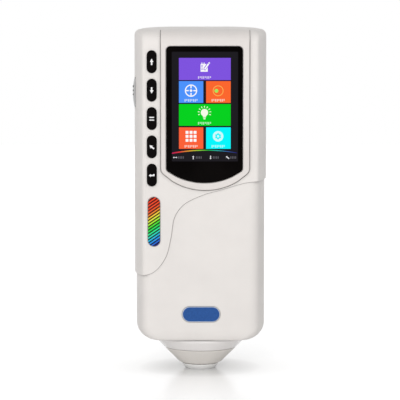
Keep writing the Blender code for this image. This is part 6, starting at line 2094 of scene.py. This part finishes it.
@dataclass(frozen=True)
class MeasuringHead:
    """Collar, cone and tip ring around the integrating sphere."""

    tip_radius: float = 0.00885
    band_z: float = 0.0130
    neck_z: float = 0.00405
    rim_radius: float = 0.0275
    groove_radius: float = 0.0237
    flange: float = 0.0024
    flange_low_z: float = 0.0242
    flange_high_z: float = 0.0262
    rim_low_z: float = 0.01865
    rim_high_z: float = 0.0203
    clear_radius: float = 0.019224
    sphere_z: float = 0.021024
    shoulder_z: float = 0.019524
    collar_bore: float = 0.020124
    ring_top_radius: float = 0.0112
    ring_radius: float = 0.0098
    ring_height: float = 0.0030
    ring_round: float = 0.0009
    ring_bore: float = 0.0040
    ring_throat: float = 0.0052
    ring_shelf: float = 0.0075
    ring_shelf_z: float = 0.0019
    edge: float = 0.00025

    def cone_side(self, z: float) -> Point:
        """Outside of the cone at a height, as (radius, z)."""
        return self.tip_radius + z, z

    def clearance(self, low_z: float, high_z: float) -> list[Place]:
        """Inner side of the head from low to high, as sharp corners."""
        heights = [low_z + (high_z - low_z) * i / 10 for i in range(11)]
        return [(sqrt(self.clear_radius ** 2 - (z - self.sphere_z) ** 2), z, 0.0) for z in heights]

    def build_ring(self, name: str, corners: Sequence[Place], finish: Finish, node: str) -> None:
        """Make one turned piece.

        Args:
            name: Name of the piece.
            corners: Radius, z and rounding of each corner of its profile.
            finish: Its finish.
            node: CAD node that it stands for.
        """
        profile = []
        for i, (radius, z, rounding) in enumerate(corners):
            before, after = corners[i - 1][:2], corners[(i + 1) % len(corners)][:2]
            profile += fillet(before, (radius, z), after, rounding, 5) if rounding else [(radius, z)]
        dress(name, turned(profile), finish, node)

    def build(self) -> None:
        """Make the three turned pieces."""
        low, high, foot = self.band_z + GAP / 2, self.band_z - GAP / 2, self.ring_height + GAP
        wide, groove, rim = self.groove_radius + self.flange, self.groove_radius, self.rim_radius
        self.build_ring("collar_shell", [
            (wide, self.flange_high_z, 0.0), (wide, self.flange_low_z, 0.0), (groove, self.flange_low_z, 0.0),
            (groove, self.rim_high_z, 0.0), (rim, self.rim_high_z, self.edge), (rim, self.rim_low_z, 0.0006),
            (*self.cone_side(low), self.edge), *self.clearance(low, self.shoulder_z),
            (self.collar_bore, self.shoulder_z, 0.0), (self.collar_bore, self.flange_high_z, 0.0),
        ], Finishes.COLLAR, "head_collar")
        self.build_ring("cone_shell", [
            (*self.cone_side(high), self.edge), (*self.cone_side(self.neck_z), 0.0005),
            (self.ring_top_radius, foot, self.edge), *self.clearance(foot, high),
        ], Finishes.CONE, "measuring_cone")
        self.build_ring("tip_ring", [
            (self.ring_top_radius, self.ring_height, 0.0004), (self.ring_radius, self.ring_round, 0.0006),
            (self.ring_radius - self.ring_round, 0.0, 0.0004), (self.ring_bore, 0.0, 0.0003),
            (self.ring_throat, self.ring_shelf_z, 0.0), (self.ring_shelf, self.ring_shelf_z, 0.0),
            (self.ring_shelf, self.ring_height, 0.0),
        ], Finishes.RING, "aperture_ring")


@dataclass(frozen=True)
class Inside:
    """Finishes of the pieces that stay hidden inside the closed instrument."""

    def build(self) -> None:
        """Dress every hidden piece."""
        for finish, *nodes in (
                (Finishes.BOARD, "main_board", "lamp_board", "sensor_board"),
                (Finishes.STEEL, *(f"board_screw_{i}" for i in range(1, 5))),
                (Finishes.BLACK, *(f"key_switch_{i}" for i in range(1, 6)), "measure_switch", "colour_sensor",
                 "lens_tube"),
                (Finishes.COATING, "sphere_lower", "sphere_upper"),
                (Finishes.CLEAR, *(f"lamp_{i}" for i in range(1, 5))),
                (Finishes.LENS, "detector_lens"), (Finishes.LEAD, "sensor_ribbon")):
            refinish(finish, *nodes)


# Stage

@dataclass(frozen=True)
class Studio:
    """Plain white floor with a painted contact shadow, soft lamps and the camera."""

    floor_radius: float = 1.6
    floor_white: Colour = (0.92, 0.92, 0.92)
    floor_glow: float = 0.36
    floor_roughness: float = 0.2
    shadow_reach: float = 0.1
    contact_reach: float = 0.02
    contact_shade: float = 0.7
    contact_glow: float = 0.3
    fill: float = 0.5
    key_watts: float = 6.0
    key_size: float = 0.5
    key_place: Place = (-0.16, -1.3, 0.5)
    spark_watts: float = 2.0
    spark_size: float = 0.1
    spark_place: Place = (-0.22, -1.45, 0.5)
    camera_place: Place = (0.0, -1.600, 0.270)
    target: Place = (0.0, 0.0, 0.1015)
    lens: float = 240.6
    shift_x: float = -0.001

    def build(self) -> None:
        """Make floor, world, lamps and camera."""
        self.build_floor()
        self.build_world()
        self.build_lamp("key_lamp", self.key_place, self.key_watts, self.key_size)
        self.build_lamp("spark_lamp", self.spark_place, self.spark_watts, self.spark_size)
        self.build_camera()

    @staticmethod
    def seen_mask(graph: Graph) -> Socket:
        """1 for rays from the camera, of reflections and through glass, else 0.

        Args:
            graph: The graph that it goes into.

        Returns:
            The mask's socket.
        """
        path = graph.add("LightPath").outputs
        seen = graph.calculate("MAXIMUM", path["Is Camera Ray"], path["Is Glossy Ray"])
        return graph.calculate("MAXIMUM", seen, path["Is Transmission Ray"])

    def build_floor(self) -> None:
        """Make the round floor that shows white and keeps the lamps' shadow, with a painted contact shadow: ambient
        occlusion darkens its colour and glow near the instrument.
        """
        bm = bmesh.new()
        bmesh.ops.create_circle(bm, cap_ends=True, segments=128, radius=self.floor_radius)
        floor = finished(bm)
        floor.name = "studio_floor"
        made = bpy.data.materials.new("studio_floor_white")
        made.use_nodes = True
        graph = Graph(made.node_tree)
        # painted shadow: occlusion masks darken the floor's colour and glow round the instrument
        close = graph.occlusion(self.contact_reach, 16)
        glow = graph.times(self.seen_mask(graph), self.floor_glow)
        glow = graph.times(glow, graph.remap(close, 0.0, 1.0, self.contact_glow, 1.0))
        graph.surface({
            "Base Color": graph.blend(close, dimmed(self.floor_white, self.contact_shade), self.floor_white),
            "Roughness": self.floor_roughness, "Emission Color": (1.0, 1.0, 1.0),
            "Emission Strength": graph.times(glow, graph.occlusion(self.shadow_reach, 16))})
        floor.data.materials.append(made)

    def build_world(self) -> None:
        """Make the white surroundings."""
        world = bpy.data.worlds.new("studio_white")
        world.use_nodes = True
        graph = Graph(world.node_tree)
        strength = graph.remap(self.seen_mask(graph), 0.0, 1.0, self.fill, 1.0)
        graph.fill(world.node_tree.nodes["Background"], {"Color": (1.0, 1.0, 1.0), "Strength": strength})
        bpy.context.scene.world = world

    def aim(self, item: Item, place: Place) -> None:
        """Stand a lamp or the camera in a place, facing the instrument."""
        item.location = place
        item.rotation_euler = (Vector(self.target) - Vector(place)).to_track_quat("-Z", "Y").to_euler()

    def build_lamp(self, name: str, place: Place, watts: float, size: float) -> None:
        """Make one soft square lamp that faces the instrument and casts no glare on it.

        Args:
            name: Name of the lamp.
            place: Where it stands.
            watts: Its power.
            size: Side of its square.
        """
        lamp = bpy.data.lights.new(name, "AREA")
        lamp.shape, lamp.size, lamp.energy = "SQUARE", size, watts
        item = placed(name, lamp)
        item.visible_glossy = False
        self.aim(item, place)

    def build_camera(self) -> None:
        """Make the camera and the plain view settings."""
        camera = bpy.data.cameras.new("camera")
        camera.lens, camera.shift_x = self.lens, self.shift_x
        item = placed("camera", camera)
        self.aim(item, self.camera_place)
        bpy.context.scene.camera = item
        bpy.context.scene.view_settings.view_transform = "Standard"


def main() -> None:
    """Build every sub-assembly in order."""
    for assembly in (FrontShells(), BackShell(), BAY, FASTENING, Display(), KEYPAD, THUMB, BADGES, SWITCH,
                     SOCKETS, MeasuringHead(), Inside(), Studio()):
        assembly.build()
        LOG.info("built %s", type(assembly).__name__)


if __name__ == "__main__":
    logging.basicConfig(level=logging.INFO, format="%(message)s")
    main()
